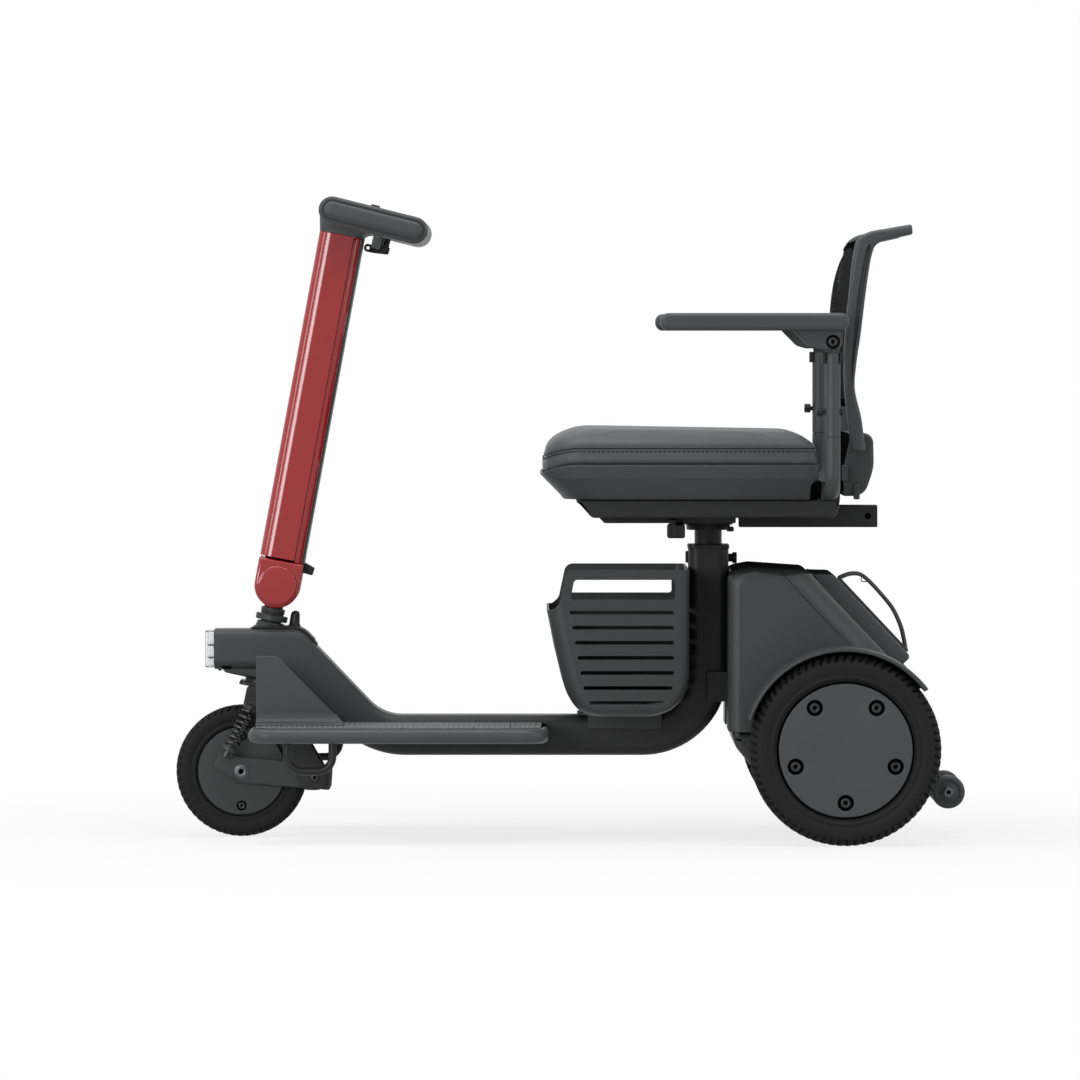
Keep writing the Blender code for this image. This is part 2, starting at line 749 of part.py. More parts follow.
def make_fork():
    stem = cylinder("steering_stem", on_stem(-0.1276), on_stem(-0.0345 - GAP), STEM_R)
    put(stem, "steel", steering)

    inner = hole(STEM_R)
    profile = [
        (0.0165, -0.0350), (0.0165, -0.0420), (0.0215, -0.0425), (0.0215, -0.0478),
        (0.0185, -0.0484), (inner, -0.0484), (inner, -0.0350),
    ]
    put(smooth(turned("stem_boot", profile, STEER, 16)), "rubber", steering)

    half = KNUCKLE_W / 2
    knuckle = cylinder("hinge_knuckle", (0, -half, 0), (0, half, 0), KNUCKLE_R, STEER)
    reach = COLUMN_W / 2 - 0.002
    pin = cylinder("hinge_pin", (0, -reach, 0), (0, reach, 0), HINGE_PIN_R, STEER)
    join(knuckle, cylinder("neck", (0, 0, -0.0345), (0, 0, -0.015), 0.0125, STEER), pin)
    put(knuckle, "black_plastic", steering)

    crown = box("fork", (-0.029, -LEG_OUTER, -0.140), (0.030, LEG_OUTER, -0.128 - GAP), STEER)
    boss = cylinder("crown_boss", (0, 0, -0.138), (0, 0, -0.120), STEM_R + 0.006, STEER)
    join(crown, boss)
    crown_bore = cylinder("crown_bore", (0, 0, -0.1279), (0, 0, -0.05), hole(STEM_R), STEER)
    leg = rounded([
        (-0.4343, 0.2050, 0.003),
        (-0.4397, 0.1780, 0.006),
        (-0.4050, 0.1500, 0.020),
        (-0.3876, 0.1247, 0.030),
        (LINK_PIVOT_X - 0.0170, LINK_PIVOT_Z - 0.0170, 0.014),
        (LINK_PIVOT_X + 0.0170, LINK_PIVOT_Z - 0.0170, 0.014),
        (LINK_PIVOT_X + 0.0150, LINK_PIVOT_Z + 0.0070, 0.008),
        (-0.3493, 0.1247, 0.020),
        (-0.3880, 0.2050, 0.003),
    ])
    reach = LEG_OUTER + 0.002
    pin = cylinder(
        "link_pin", (LINK_PIVOT_X, -reach, LINK_PIVOT_Z), (LINK_PIVOT_X, reach, LINK_PIVOT_Z), LINK_PIN_R
    )
    seat_low = Vector((SPRING_TOP[0], 0, SPRING_TOP[1]))
    along = seat_low - Vector((SPRING_FOOT[0], 0, SPRING_FOOT[1]))
    along.normalize()
    for side in SIDES:
        join(crown, side_plate("leg", leg, side * LEG_INNER, side * LEG_OUTER))
        shelf = seat_low + Vector((0, side * SPRING_Y, 0))
        join(crown, cylinder("spring_cup", shelf, shelf + along * 0.006, SPRING_R + 0.0022))
        lug = ((-0.4230, -0.4110), (LEG_INNER + 0.001, SPRING_Y), (0.1795, 0.1900))
        join(crown, side_box("cup_lug", side, *lug))
    join(crown, pin)
    put(cut(crown, crown_bore), "painted_steel", steering)


def spring_points(side):
    low = Vector((SPRING_FOOT[0], side * SPRING_Y, SPRING_FOOT[1]))
    high = Vector((SPRING_TOP[0], side * SPRING_Y, SPRING_TOP[1]))
    along = (high - low).normalized()
    low = low + along * (SPRING_WIRE_R + GAP)
    high = high - along * (SPRING_WIRE_R + GAP)
    across = Vector((0, 1, 0))
    third = along.cross(across)
    count = round(SPRING_TURNS * 9)
    points = []
    for k in range(count + 1):
        angle = 2 * math.pi * SPRING_TURNS * k / count
        ring = across * math.cos(angle) + third * math.sin(angle)
        points.append(low.lerp(high, k / count) + ring * SPRING_R)
    return points


def least_gap(points, wire_r, skip):
    # The least gap of a coiled wire to itself, measured between its points
    nearest = min(
        (points[i] - points[j]).length for i in range(len(points)) for j in range(i + skip, len(points))
    )
    return nearest - 2 * wire_r


def make_front_arm():
    tip = Vector(SPRING_FOOT)
    outline = rounded([
        (-0.4700, 0.1000, 0.006),
        (-0.4620, 0.1120, 0.004),
        (-0.4500, 0.1180, 0.004),
        (-0.4490, 0.1075, 0.006),
        (LINK_PIVOT_X - 0.040, LINK_PIVOT_Z + 0.0220, 0.020),
        (LINK_PIVOT_X + 0.0225, LINK_PIVOT_Z + 0.0130, 0.003),
        (LINK_PIVOT_X + 0.0205, LINK_PIVOT_Z - 0.0175, 0.003),
        (-0.4360, 0.0730, 0.020),
        (-0.4600, 0.0810, 0.010),
    ])
    top = Vector(SPRING_TOP)
    along = (top - tip).normalized()
    pin = Vector((LINK_PIVOT_X, 0, LINK_PIVOT_Z))
    axle = Vector((FRONT_AXLE_X, 0, FRONT_WHEEL_R))
    reach = Vector((0, 0.08, 0))
    for side, word in SIDES.items():
        arm = side_plate("arm_" + word, outline, side * ARM_INNER, side * (ARM_INNER + ARM_T))
        foot = Vector((tip.x, side * SPRING_Y, tip.y))
        down = Vector((along.x, 0, along.y))
        join(arm, cylinder("cup", foot - down * 0.006, foot, SPRING_R + 0.0022))
        join(arm, cylinder("stud", foot - down * 0.016, foot - down * 0.004, 0.0045, steps=12))
        lug = foot - down * 0.004
        x = (lug.x - 0.006, lug.x + 0.006)
        join(arm, side_box("lug", side, x, (ARM_INNER + 0.001, SPRING_Y), (lug.z - 0.007, lug.z + 0.001)))
        cut(arm, cylinder("pin_way", pin - reach, pin + reach, hole(LINK_PIN_R)))
        cut(arm, cylinder("axle_way", axle - reach, axle + reach, hole(FRONT_AXLE_R)))
        put(arm, "painted_steel", front_arm)
        coil = spring_points(side)
        gap = least_gap(coil, SPRING_WIRE_R, 6)
        print("spring", word, "least gap to itself in mm:", round(gap * 1000, 2))
        put(tube("spring_" + word, coil, SPRING_WIRE_R, resolution=1), "steel", front_arm)
    outer = ARM_INNER + ARM_T + GAP
    reach = Vector((0, outer + 0.002, 0))
    shaft = cylinder("front_axle", axle - reach, axle + reach, FRONT_AXLE_R)
    for side in SIDES:
        start = axle + Vector((0, side * outer, 0))
        join(shaft, cylinder("axle_head", start, start + Vector((0, side * 0.004, 0)), 0.0075))
        inside = axle + Vector((0, side * (FRONT_TYRE_W / 2 + 0.0008), 0))
        stop = axle + Vector((0, side * (ARM_INNER - GAP), 0))
        join(shaft, cylinder("spacer", inside, stop, 0.008))
    put(shaft, "steel", front_arm)


def make_front_wheel():
    half = FRONT_TYRE_W / 2
    base = lathe_base(FRONT_AXLE_X, 0, FRONT_WHEEL_R, RIGHT)
    rim = FRONT_RIM_R
    tyre = turned("front_tyre", [
        (rim + 0.004, half - 0.001), (FRONT_WHEEL_R - 0.013, half), (FRONT_WHEEL_R - 0.004, half - 0.006),
        (FRONT_WHEEL_R, half - 0.014), (FRONT_WHEEL_R, -half + 0.014),
        (FRONT_WHEEL_R - 0.004, -half + 0.006),
        (FRONT_WHEEL_R - 0.013, -half), (rim + 0.004, -half + 0.001), (rim, -half + 0.003),
        (rim, half - 0.003),
    ], base)
    put(smooth(tyre), "rubber", front_wheel)
    bore = hole(FRONT_AXLE_R)
    face = half - 0.0025
    hub = turned("front_hub", [
        (0.016, half), (0.018, face), (rim - GAP, face), (rim - GAP, -face), (0.018, -face), (0.016, -half),
        (bore, -half), (bore, half),
    ], base)
    put(smooth(hub), "plastic", front_wheel)


def make_rear_wheel(side):
    word = SIDES[side]
    half = REAR_TYRE_W / 2
    holder = body("rear_wheel_" + word, (REAR_AXLE_X, side * REAR_TRACK / 2, REAR_WHEEL_R))
    base = lathe_base(*holder.location, side)
    rim = REAR_RIM_R
    tyre = turned("rear_tyre_" + word, [
        (rim + 0.003, half - 0.001), (REAR_WHEEL_R - 0.016, half), (REAR_WHEEL_R - 0.005, half - 0.007),
        (REAR_WHEEL_R, half - 0.018), (REAR_WHEEL_R, -half + 0.018), (REAR_WHEEL_R - 0.005, -half + 0.007),
        (REAR_WHEEL_R - 0.016, -half), (rim + 0.003, -half + 0.001), (rim, -half + 0.004),
        (rim, half - 0.004),
    ], base)
    put(smooth(tyre), "rubber", holder)
    inner_end = REAR_TRACK / 2 - 0.058
    face = half - 0.004
    hub = turned("rear_hub_" + word, [
        (0, face), (rim - GAP, face), (rim - GAP, -half + 0.008), (rim - 0.006, -half + 0.008),
        (rim - 0.010, face - 0.012), (0.030, face - 0.012), (0.026, -half + 0.004),
        (REAR_AXLE_R, -half + 0.003),
        (REAR_AXLE_R, -inner_end), (0, -inner_end),
    ], base)
    put(smooth(hub), "plastic", holder)


def column_outline(shrink):
    x = COLUMN_DEPTH / 2 - shrink
    y = COLUMN_W / 2 - shrink
    r = 0.016 - shrink
    return rounded([(-x, -y, r), (x, -y, r), (x, y, r), (-x, y, r)])


def make_tiller():
    column = flat_plate(
        "tiller_column", column_outline(0), COLUMN_FOOT, COLUMN_TOP, STEER, [column_outline(COLUMN_WALL)]
    )
    lever_x, lever_z = LEVER_PIVOT
    slot = LEVER_W / 2 + 0.0005
    slot_box = (
        (lever_x - 0.0085, -slot, lever_z - 0.0185), (COLUMN_DEPTH / 2 + 0.004, slot, lever_z + 0.010),
    )
    cut(column, box("lever_window", *slot_box, STEER))
    put(smooth(column), "red_enamel", tiller)

    cheek_in = KNUCKLE_W / 2 + 0.001
    cheek_out = COLUMN_W / 2
    end_r = COLUMN_DEPTH / 2
    cheek_top = COLUMN_FOOT - GAP
    cheek = [Vector((-end_r, cheek_top))]
    cheek += arc((0, 0), end_r, math.pi, 2 * math.pi, 12)
    cheek += [Vector((end_r, cheek_top))]
    plug_x = end_r - COLUMN_WALL - RUN
    plug_y = cheek_out - COLUMN_WALL - RUN
    plug_low = KNUCKLE_R + 0.0030
    corner = 0.013 - RUN
    plug = rounded([
        (-plug_x, -plug_y, corner), (plug_x, -plug_y, corner), (plug_x, plug_y, corner),
        (-plug_x, plug_y, corner),
    ])
    foot = flat_plate("tiller_foot", plug, plug_low, COLUMN_FOOT + 0.040, STEER)
    for side in SIDES:
        join(foot, side_plate("cheek", cheek, side * cheek_in, side * cheek_out, STEER))
        cap = cylinder(
            "cap", (0, side * (cheek_out - 0.001), 0), (0, side * (cheek_out + 0.0035), 0), 0.027, STEER
        )
        join(foot, cap)
    cut(foot, box("lever_slot", *slot_box, STEER))
    reach = cheek_out - 0.0015
    cut(foot, cylinder("pin_way", (0, -reach, 0), (0, reach, 0), hole(HINGE_PIN_R), STEER))
    pin_y = slot + 0.004
    ends = ((lever_x, -pin_y - 0.0005, lever_z), (lever_x, pin_y + 0.0005, lever_z))
    cut(foot, cylinder("lever_pin_way", *ends, hole(LEVER_PIN_R), STEER))
    put(foot, "red_enamel", tiller)

    lever_body = body("tilt_lever", STEER @ Vector((lever_x, 0, lever_z)))
    paddle = rounded([
        (lever_x - 0.004, lever_z - 0.004, 0.003),
        (lever_x - 0.004, lever_z + 0.004, 0.003),
        (0.0270, 0.0376, 0.002),
        (0.0450, 0.0313, 0.002),
        (0.0438, 0.0209, 0.002),
        (0.0275, 0.0225, 0.003),
    ])
    lever = side_plate("tilt_lever", paddle, -LEVER_W / 2, LEVER_W / 2, STEER)
    ends = ((lever_x, -pin_y, lever_z), (lever_x, pin_y, lever_z))
    join(lever, cylinder("lever_pin", *ends, LEVER_PIN_R, STEER))
    put(lever, "black_plastic", lever_body)


def stadium(length, thickness):
    reach = (length - thickness) / 2
    r = thickness / 2
    front = arc((-reach, 0), r, math.pi / 2, 3 * math.pi / 2, 8)
    rear = arc((reach, 0), r, -math.pi / 2, math.pi / 2, 8)
    return front + rear


def make_handle():
    neck = flat_plate("handle_neck", column_outline(0.001), COLUMN_TOP + GAP, COLUMN_TOP + 0.022, STEER)
    swell = stadium(POD_LENGTH + 2 * GAP, POD_T + 2 * GAP)
    cut(neck, side_plate("pod_seat", swell, -COLUMN_W, COLUMN_W, POD))
    put(neck, "plastic", tiller)

    half = HANDLE_W / 2
    shell = side_plate("handle_shell", stadium(POD_LENGTH, POD_T), -half, half, POD)
    bevel(shell, 0.006)
    rod_z = -HALF_POD - THROTTLE_DROP
    for side in SIDES:
        x = HAND_HOLE[0] / 2
        y = (HAND_HOLE_Y - HAND_HOLE[1] / 2, HAND_HOLE_Y + HAND_HOLE[1] / 2)
        cut(shell, side_box("hand_hole", side, (-x, x), y, (-POD_T, POD_T), POD))
        x = (THROTTLE_X - 0.006, THROTTLE_X + 0.006)
        hanger = side_box("hanger", side, x, (0.058, 0.066), (rod_z - 0.006, -HALF_POD + 0.004), POD)
        join(shell, hanger)
    rod_ends = ((THROTTLE_X, -0.08, rod_z), (THROTTLE_X, 0.08, rod_z))
    key_low = (KEY_X, KEY_Y, -HALF_POD - 0.01)
    key_end = (KEY_X, KEY_Y, -HALF_POD + 0.010)
    dial_end = (DIAL_X, 0, HALF_POD - 0.008)
    cut(
        shell,
        cylinder("rod_way", *rod_ends, hole(THROTTLE_ROD_R), POD),
        cylinder("key_way", key_low, key_end, hole(KEY_R), POD),
        cylinder("dial_way", dial_end, (DIAL_X, 0, POD_T), hole(KEY_R), POD),
    )
    put(shell, "plastic", tiller)

    throttle_body = body("throttle", POD @ Vector((THROTTLE_X, 0, rod_z)))
    reach = 0.100
    rod = cylinder("throttle", (THROTTLE_X, -reach, rod_z), (THROTTLE_X, reach, rod_z), THROTTLE_ROD_R, POD)
    for side in SIDES:
        x = (THROTTLE_X - 0.0055, THROTTLE_X + 0.0055)
        join(rod, side_box("paddle", side, x, (0.092, 0.120), (-HALF_POD - 0.017, -HALF_POD - 0.001), POD))
    put(rod, "plastic", throttle_body)

    key_body = body("key", POD @ Vector((KEY_X, KEY_Y, -HALF_POD)))
    head_top = -HALF_POD - 0.0105
    eye = (KEY_X - 0.0230, head_top - 0.0075)
    head = rounded([
        (KEY_X - 0.0285, head_top - 0.0130, 0.0050),
        (KEY_X - 0.0285, head_top - 0.0020, 0.0050),
        (KEY_X - 0.0150, head_top - 0.0020, 0.0020),
        (KEY_X - 0.0100, head_top, 0.0020),
        (KEY_X + 0.0060, head_top, 0.0020),
        (KEY_X + 0.0060, head_top - 0.0150, 0.0020),
        (KEY_X - 0.0150, head_top - 0.0130, 0.0020),
    ])
    eyelet = arc(eye, 0.0022, 0, 2 * math.pi, 10)[:-1]
    key = side_plate("key", head, KEY_Y - 0.0020, KEY_Y + 0.0020, POD, [eyelet])
    shaft_ends = ((KEY_X, KEY_Y, head_top - 0.002), (KEY_X, KEY_Y, -HALF_POD + 0.009))
    join(key, cylinder("key_shaft", *shaft_ends, KEY_R, POD, steps=16))
    put(key, "black_plastic", key_body)

    dial_body = body("speed_dial", POD @ Vector((DIAL_X, 0, HALF_POD)))
    dial = cylinder("speed_dial", (DIAL_X, 0, HALF_POD + GAP), (DIAL_X, 0, HALF_POD + 0.0042), DIAL_R, POD)
    join(
        dial,
        cylinder("dial_shaft", (DIAL_X, 0, HALF_POD - 0.007), (DIAL_X, 0, HALF_POD + 0.002), KEY_R, POD)
    )
    put(dial, "black_plastic", dial_body)


def make_basket():
    top = FLOOR_TOP + GAP
    cheek = FRAME_W / 2 + GAP
    x = (0.010, TUBE_FRONT - REAR_BEND_R + FRAME_DEPTH - 0.002)
    saddle = box("basket_bracket", (x[0], -cheek - 0.004, top), (x[1], cheek + 0.004, SADDLE_TOP))
    for side in SIDES:
        join(saddle, side_box("flange", side, x, (cheek, cheek + 0.004), (top - 0.018, SADDLE_TOP - 0.001)))
    put(saddle, "painted_steel", chassis)

    floor = SADDLE_TOP + GAP
    rear = TUBE_FRONT - 0.001
    half = BASKET_W / 2
    corners = [
        (-0.0310, 0.3090, 0.004),
        (-0.0125, 0.2120, 0.030),
        (0.0080, floor, 0.020),
        (0.1180, floor, 0.030),
        (rear, 0.2186, 0.030),
        (rear, BASKET_TOP, 0.006),
        (-0.0051, BASKET_TOP, 0.012),
        (-0.0150, 0.3120, 0.020),
    ]
    basket = side_plate("basket", rounded(corners), -half, half)
    bevel(basket, 0.006)
    w = BASKET_WALL
    inside = rounded([
        (-0.0310 + w, 0.3090, 0),
        (-0.0125 + w, 0.2120, 0.028),
        (0.0080 + w / 2, floor + w, 0.018),
        (0.1180 - w / 2, floor + w, 0.028),
        (rear - w, 0.2186 + w / 2, 0.028),
        (rear - w, BASKET_TOP + 0.02, 0),
        (-0.0310 + w, BASKET_TOP + 0.02, 0),
    ])
    cut(basket, bevel(side_plate("basket_hollow", inside, -half + w, half - w), 0.004))
    handle = rounded([
        (0.0020, BASKET_TOP - 0.0395, 0.004), (0.1380, BASKET_TOP - 0.0395, 0.004),
        (0.1380, BASKET_TOP - 0.0135, 0.004), (0.0020, BASKET_TOP - 0.0135, 0.004),
    ])
    cut(basket, side_plate("handle_way", handle, -half - 0.01, half + 0.01))
    shape = bmesh.new()
    for row in range(SLOT_COUNT):
        z = BASKET_TOP - 0.0568 - row * SLOT_PITCH
        front = 0.0010 + 0.0032 * row
        end = 0.1370 if row < SLOT_COUNT - 1 else 0.1280
        size = Matrix.Diagonal((end - front, BASKET_W + 0.02, SLOT_H, 1))
        bmesh.ops.create_cube(shape, size=1.0, matrix=Matrix.Translation(((front + end) / 2, 0, z)) @ size)
    cut(basket, from_bmesh("slots", shape))
    put(basket, "plastic", basket_body)


def make_battery():
    start = Vector((BATTERY_START, -BATTERY_W / 2, BATTERY_PROUD - BATTERY_T))
    end = Vector((BATTERY_START + BATTERY_LENGTH, BATTERY_W / 2, BATTERY_PROUD))
    pack = box("battery", start, end, TAIL)
    put(bevel(pack, 0.006), "plastic", battery_body)
    face = BATTERY_PROUD + GAP + STRAP_T / 2
    near = BATTERY_START + 0.012
    far = BATTERY_START + BATTERY_LENGTH - 0.012
    path = rounded([
        (near, face, 0), (near + 0.012, face, 0.006), (near + 0.014, face + 0.0280, 0.012),
        (near + 0.075, face + 0.0300, 0.030), (far - 0.016, face + 0.0180, 0.020),
        (far - 0.012, face, 0.006), (far, face, 0),
    ])
    strap = side_plate("battery_strap", ribbon(path, STRAP_T), -STRAP_W / 2, STRAP_W / 2, TAIL)
    put(smooth(strap), "black_plastic", battery_body)


def make_seat_post():
    top = FLANGE_TOP + 0.008
    post = cylinder(
        "seat_post", (SEAT_TUBE_X, 0, POST_BOTTOM), (SEAT_TUBE_X, 0, FLANGE_BOTTOM + 0.002), POST_R
    )
    flange = cylinder("flange", (SEAT_TUBE_X, 0, FLANGE_BOTTOM), (SEAT_TUBE_X, 0, FLANGE_TOP), FLANGE_R)
    spigot = cylinder("spigot", (SEAT_TUBE_X, 0, FLANGE_BOTTOM), (SEAT_TUBE_X, 0, top), SPIGOT_R)
    join(post, flange, spigot)
    half = PIN_R + 0.0005
    slot_x = SEAT_TUBE_X + POST_R
    low = PIN_Z - POST_TRAVEL - half
    cut(post, box("pin_slot", (slot_x - 0.005, -half, low), (slot_x + 0.01, half, PIN_Z + half)))
    put(post, "steel", seat_post_body)

    pin_body = body("height_pin", (TUBE_REAR, 0, PIN_Z))
    tip = slot_x - 0.0045
    knob = TUBE_REAR + GAP
    pin = cylinder("height_pin", (tip, 0, PIN_Z), (knob + 0.001, 0, PIN_Z), PIN_R)
    join(pin, cylinder("pin_collar", (knob, 0, PIN_Z), (knob + 0.005, 0, PIN_Z), 0.0055))
    join(pin, cylinder("pin_knob", (knob + 0.004, 0, PIN_Z), (knob + 0.0115, 0, PIN_Z), 0.0075))
    put(pin, "black_plastic", pin_body)


def make_seat_frame():
    top = PAN_BOTTOM - GAP
    plate_low = FLANGE_TOP + GAP
    arm_half = 0.0128
    rear = ARM_X + arm_half
    tray = rounded([
        (0.0073, top, 0), (0.0290, TRAY_BOTTOM, 0.006), (rear - 0.004, TRAY_BOTTOM, 0.012), (rear, top, 0),
    ])
    frame = side_plate("seat_frame", tray, -0.170, 0.170)
    swivel = box("swivel_plate", (0.0374, -0.100, plate_low), (0.2220, 0.100, TRAY_BOTTOM + 0.001))
    ends = (ARM_TUBE_Z - arm_half, ARM_TUBE_Z + arm_half)
    saddle = box("arm_saddle", (ARM_X - arm_half, -0.172, top - 0.002), (rear, 0.172, ends[1]))
    side = RECEIVER_SIDE / 2
    rail = box(
        "receiver", (0.228, -side, RECEIVER_Z - side), (RECEIVER_REAR, side, RECEIVER_Z + side)
    )
    join(frame, swivel, saddle, rail)
    bore = cylinder("arm_bore", (ARM_X, -0.2, ARM_TUBE_Z), (ARM_X, 0.2, ARM_TUBE_Z), hole(ARM_TUBE_R))
    wall = side - 0.003
    socket = box(
        "socket", (0.300, -wall, RECEIVER_Z - wall), (RECEIVER_REAR + 0.01, wall, RECEIVER_Z + wall)
    )
    pin_x = RECEIVER_REAR - 0.013
    pin_hole = cylinder("pin_hole", (pin_x, -0.05, RECEIVER_Z), (pin_x, 0.05, RECEIVER_Z), 0.003, steps=12)
    spigot = cylinder(
        "spigot_way", (SEAT_TUBE_X, 0, 0.40), (SEAT_TUBE_X, 0, FLANGE_TOP + 0.009), hole(SPIGOT_R)
    )
    lever_pin = cylinder("lever_way", (0.146, -0.045, 0.40), (0.146, -0.045, plate_low + 0.005), hole(0.003))
    cut(frame, bore, socket, pin_hole, spigot, lever_pin)
    put(frame, "painted_steel", seat)

    lever_body = body("swivel_lever", (0.146, -0.045, plate_low))
    lever_top = plate_low - GAP
    lever = box("swivel_lever", (0.139, -0.116, lever_top - 0.005), (0.153, -0.036, lever_top))
    grip = box("lever_grip", (0.134, -0.122, 0.4005), (0.158, -0.098, lever_top - 0.001))
    pin = cylinder(
        "lever_pin", (0.146, -0.045, lever_top - 0.003), (0.146, -0.045, plate_low + 0.004), 0.003
    )
    put(join(lever, bevel(grip, 0.002), pin), "black_plastic", lever_body)


def seat_ring(front, rear, half, corner, z):
    outline = rounded([
        (front, -half, corner), (rear, -half, corner * 0.6), (rear, half, corner * 0.6),
        (front, half, corner),
    ])
    return [(x, y, z) for x, y in outline]


def make_seat_pan():
    wall = 0.004
    half = SEAT_W / 2
    top = PAN_LIP
    sections = [
        seat_ring(SEAT_FRONT + 0.035, PAN_REAR - 0.012, half - 0.030, 0.050, PAN_BOTTOM),
        seat_ring(SEAT_FRONT + 0.008, PAN_REAR, half - 0.006, 0.050, top - 0.011),
        seat_ring(SEAT_FRONT, PAN_REAR, half, 0.050, top),
        seat_ring(SEAT_FRONT + wall, PAN_REAR - wall, half - wall, 0.046, top),
        seat_ring(SEAT_FRONT + 0.008 + wall, PAN_REAR - wall, half - 0.006 - wall, 0.046, top - 0.011),
        seat_ring(SEAT_FRONT + 0.038, PAN_REAR - 0.015, half - 0.033, 0.046, PAN_BOTTOM + wall),
    ]
    put(loft("seat_pan", sections), "plastic", seat)


def make_cushion():
    half = SEAT_W / 2 - 0.002
    low = PAN_LIP + GAP
    front = SEAT_FRONT - 0.001
    rear = ARM_X - ARM_TUBE_R - 0.004
    middle = (front + rear) / 2
    reach = (rear - front) / 2
    height = CUSHION_TOP - low
    shape = bmesh.new()
    bmesh.ops.create_cube(shape, size=2.0)
    bmesh.ops.subdivide_edges(shape, edges=shape.edges, cuts=7, use_grid_fill=True)
    for knot in shape.verts:
        a, b, c = knot.co
        # Rounded plan: the corners draw in, and the sides swell between the two seams
        square = max(abs(a), abs(b))
        ring = math.hypot(a, b)
        blend = 1.0 if ring == 0 else 1 - 0.16 * (1 - square / ring) / (1 - math.sqrt(0.5)) * square
        level = (c + 1) / 2
        seam = 0.012 * abs(math.sin(2 * math.pi * min(level, 0.5))) * square
        roll = 1 - 0.30 * max(0, level - 0.6) ** 2 / 0.16 * square ** 4
        x = middle + a * blend * (reach - 0.004 + seam * 0.4) * (roll * 0.35 + 0.65)
        y = b * blend * (half - 0.004 + seam * 0.4) * (roll * 0.35 + 0.65)
        crown = 1 - 0.30 * max(abs(a), abs(b)) ** 4 - 0.06 * b * b - 0.05 * a * a
        z = low + level * height * crown if level > 0.5 else low + level * height * (1 - 0.15 * square ** 4)
        knot.co = (x, y, z)
    cushion = from_bmesh("seat_cushion", shape)
    put(smooth(cushion, 60), "vinyl", seat)


def make_arms(side):
    word = SIDES[side]
    y = side * ARM_Y
    bend = 0.024
    path = rounded([(side * 0.100, ARM_TUBE_Z, 0), (y, ARM_TUBE_Z, bend), (y, ARM_JOINT_Z, 0)])
    lower = tube("arm_tube_" + word, [(ARM_X, v, z) for v, z in path], ARM_TUBE_R, resolution=4)
    spigot_top = ARM_JOINT_Z + ARM_TRAVEL + 0.015
    join(lower, cylinder("spigot", (ARM_X, y, ARM_JOINT_Z - 0.01), (ARM_X, y, spigot_top), SPIGOT_ARM_R))
    put(lower, "painted_steel", seat)

    post_body = body("armrest_post_" + word, (ARM_X, y, ARM_JOINT_Z))
    foot = ARM_JOINT_Z + GAP
    post_top = ARM_PIVOT_Z - 0.0155
    post = cylinder("armrest_post_" + word, (ARM_X, y, foot), (ARM_X, y, post_top), ARM_TUBE_R)
    lug_r = 0.009
    lug = [Vector((ARM_X + lug_r, post_top - 0.004))]
    lug += arc((ARM_X, ARM_PIVOT_Z), lug_r, 0, math.pi, 8)
    lug += [Vector((ARM_X - lug_r, post_top - 0.004))]
    knob_z = 0.575
    knob = cylinder("knob", (ARM_X - 0.0215, y, knob_z), (ARM_X - 0.0125, y, knob_z), 0.0058)
    screw = cylinder("screw", (ARM_X - 0.0135, y, knob_z), (ARM_X - ARM_TUBE_R + 0.001, y, knob_z), 0.003)
    nut = cylinder(
        "nut", (ARM_X + ARM_TUBE_R - 0.001, y, knob_z), (ARM_X + 0.0140, y, knob_z), 0.0050, steps=6
    )
    join(post, side_plate("lug", lug, y - 0.004, y + 0.004), knob, screw, nut)
    bore_top = spigot_top + 0.005
    bore = cylinder("bore", (ARM_X, y, foot - 0.01), (ARM_X, y, bore_top), hole(SPIGOT_ARM_R))
    pin_way = cylinder(
        "pin_way", (ARM_X, y - 0.02, ARM_PIVOT_Z), (ARM_X, y + 0.02, ARM_PIVOT_Z), hole(ARM_PIN_R)
    )
    put(cut(post, bore, pin_way), "painted_steel", post_body)

    rest_body = body("armrest_" + word, (ARM_X, y, ARM_PIVOT_Z))
    half = PAD_W / 2
    corner = (PAD_TOP - PAD_BOTTOM) / 2 - 0.0015
    pad_outline = rounded([
        (PAD_FRONT, PAD_BOTTOM, corner), (PAD_REAR, PAD_BOTTOM, corner),
        (PAD_REAR, PAD_TOP, corner), (PAD_FRONT, PAD_TOP, corner),
    ])
    pad = side_plate("armrest_" + word, pad_outline, y - half, y + half)
    bevel(pad, 0.006)
    wedge = rounded([
        (0.2840, PAD_BOTTOM + 0.002, 0), (0.3080, 0.6610, 0.010), (0.3270, ARM_PIVOT_Z - 0.0095, 0.010),
        (ARM_X + 0.0120, ARM_PIVOT_Z - 0.0095, 0.008), (ARM_X + 0.0130, PAD_BOTTOM + 0.002, 0),
    ])
    cheek = side_plate("wedge", wedge, y - 0.0110, y + 0.0110)
    slot = (
        (ARM_X - 0.0125, y - 0.0047, ARM_PIVOT_Z - 0.03), (ARM_X + 0.03, y + 0.0047, ARM_PIVOT_Z + 0.0115),
    )
    cut(cheek, box("lug_slot", *slot))
    pin = cylinder("rest_pin", (ARM_X, y - 0.0125, ARM_PIVOT_Z), (ARM_X, y + 0.0125, ARM_PIVOT_Z), ARM_PIN_R)
    put(join(pad, cheek, pin), "plastic", rest_body)


def net_lines(length, gaps):
    # Both edges of every bar of a net of this many gaps
    pitch = (length - NET_BAR) / gaps
    lines = []
    for k in range(gaps + 1):
        lines += [k * pitch, k * pitch + NET_BAR]
    return lines


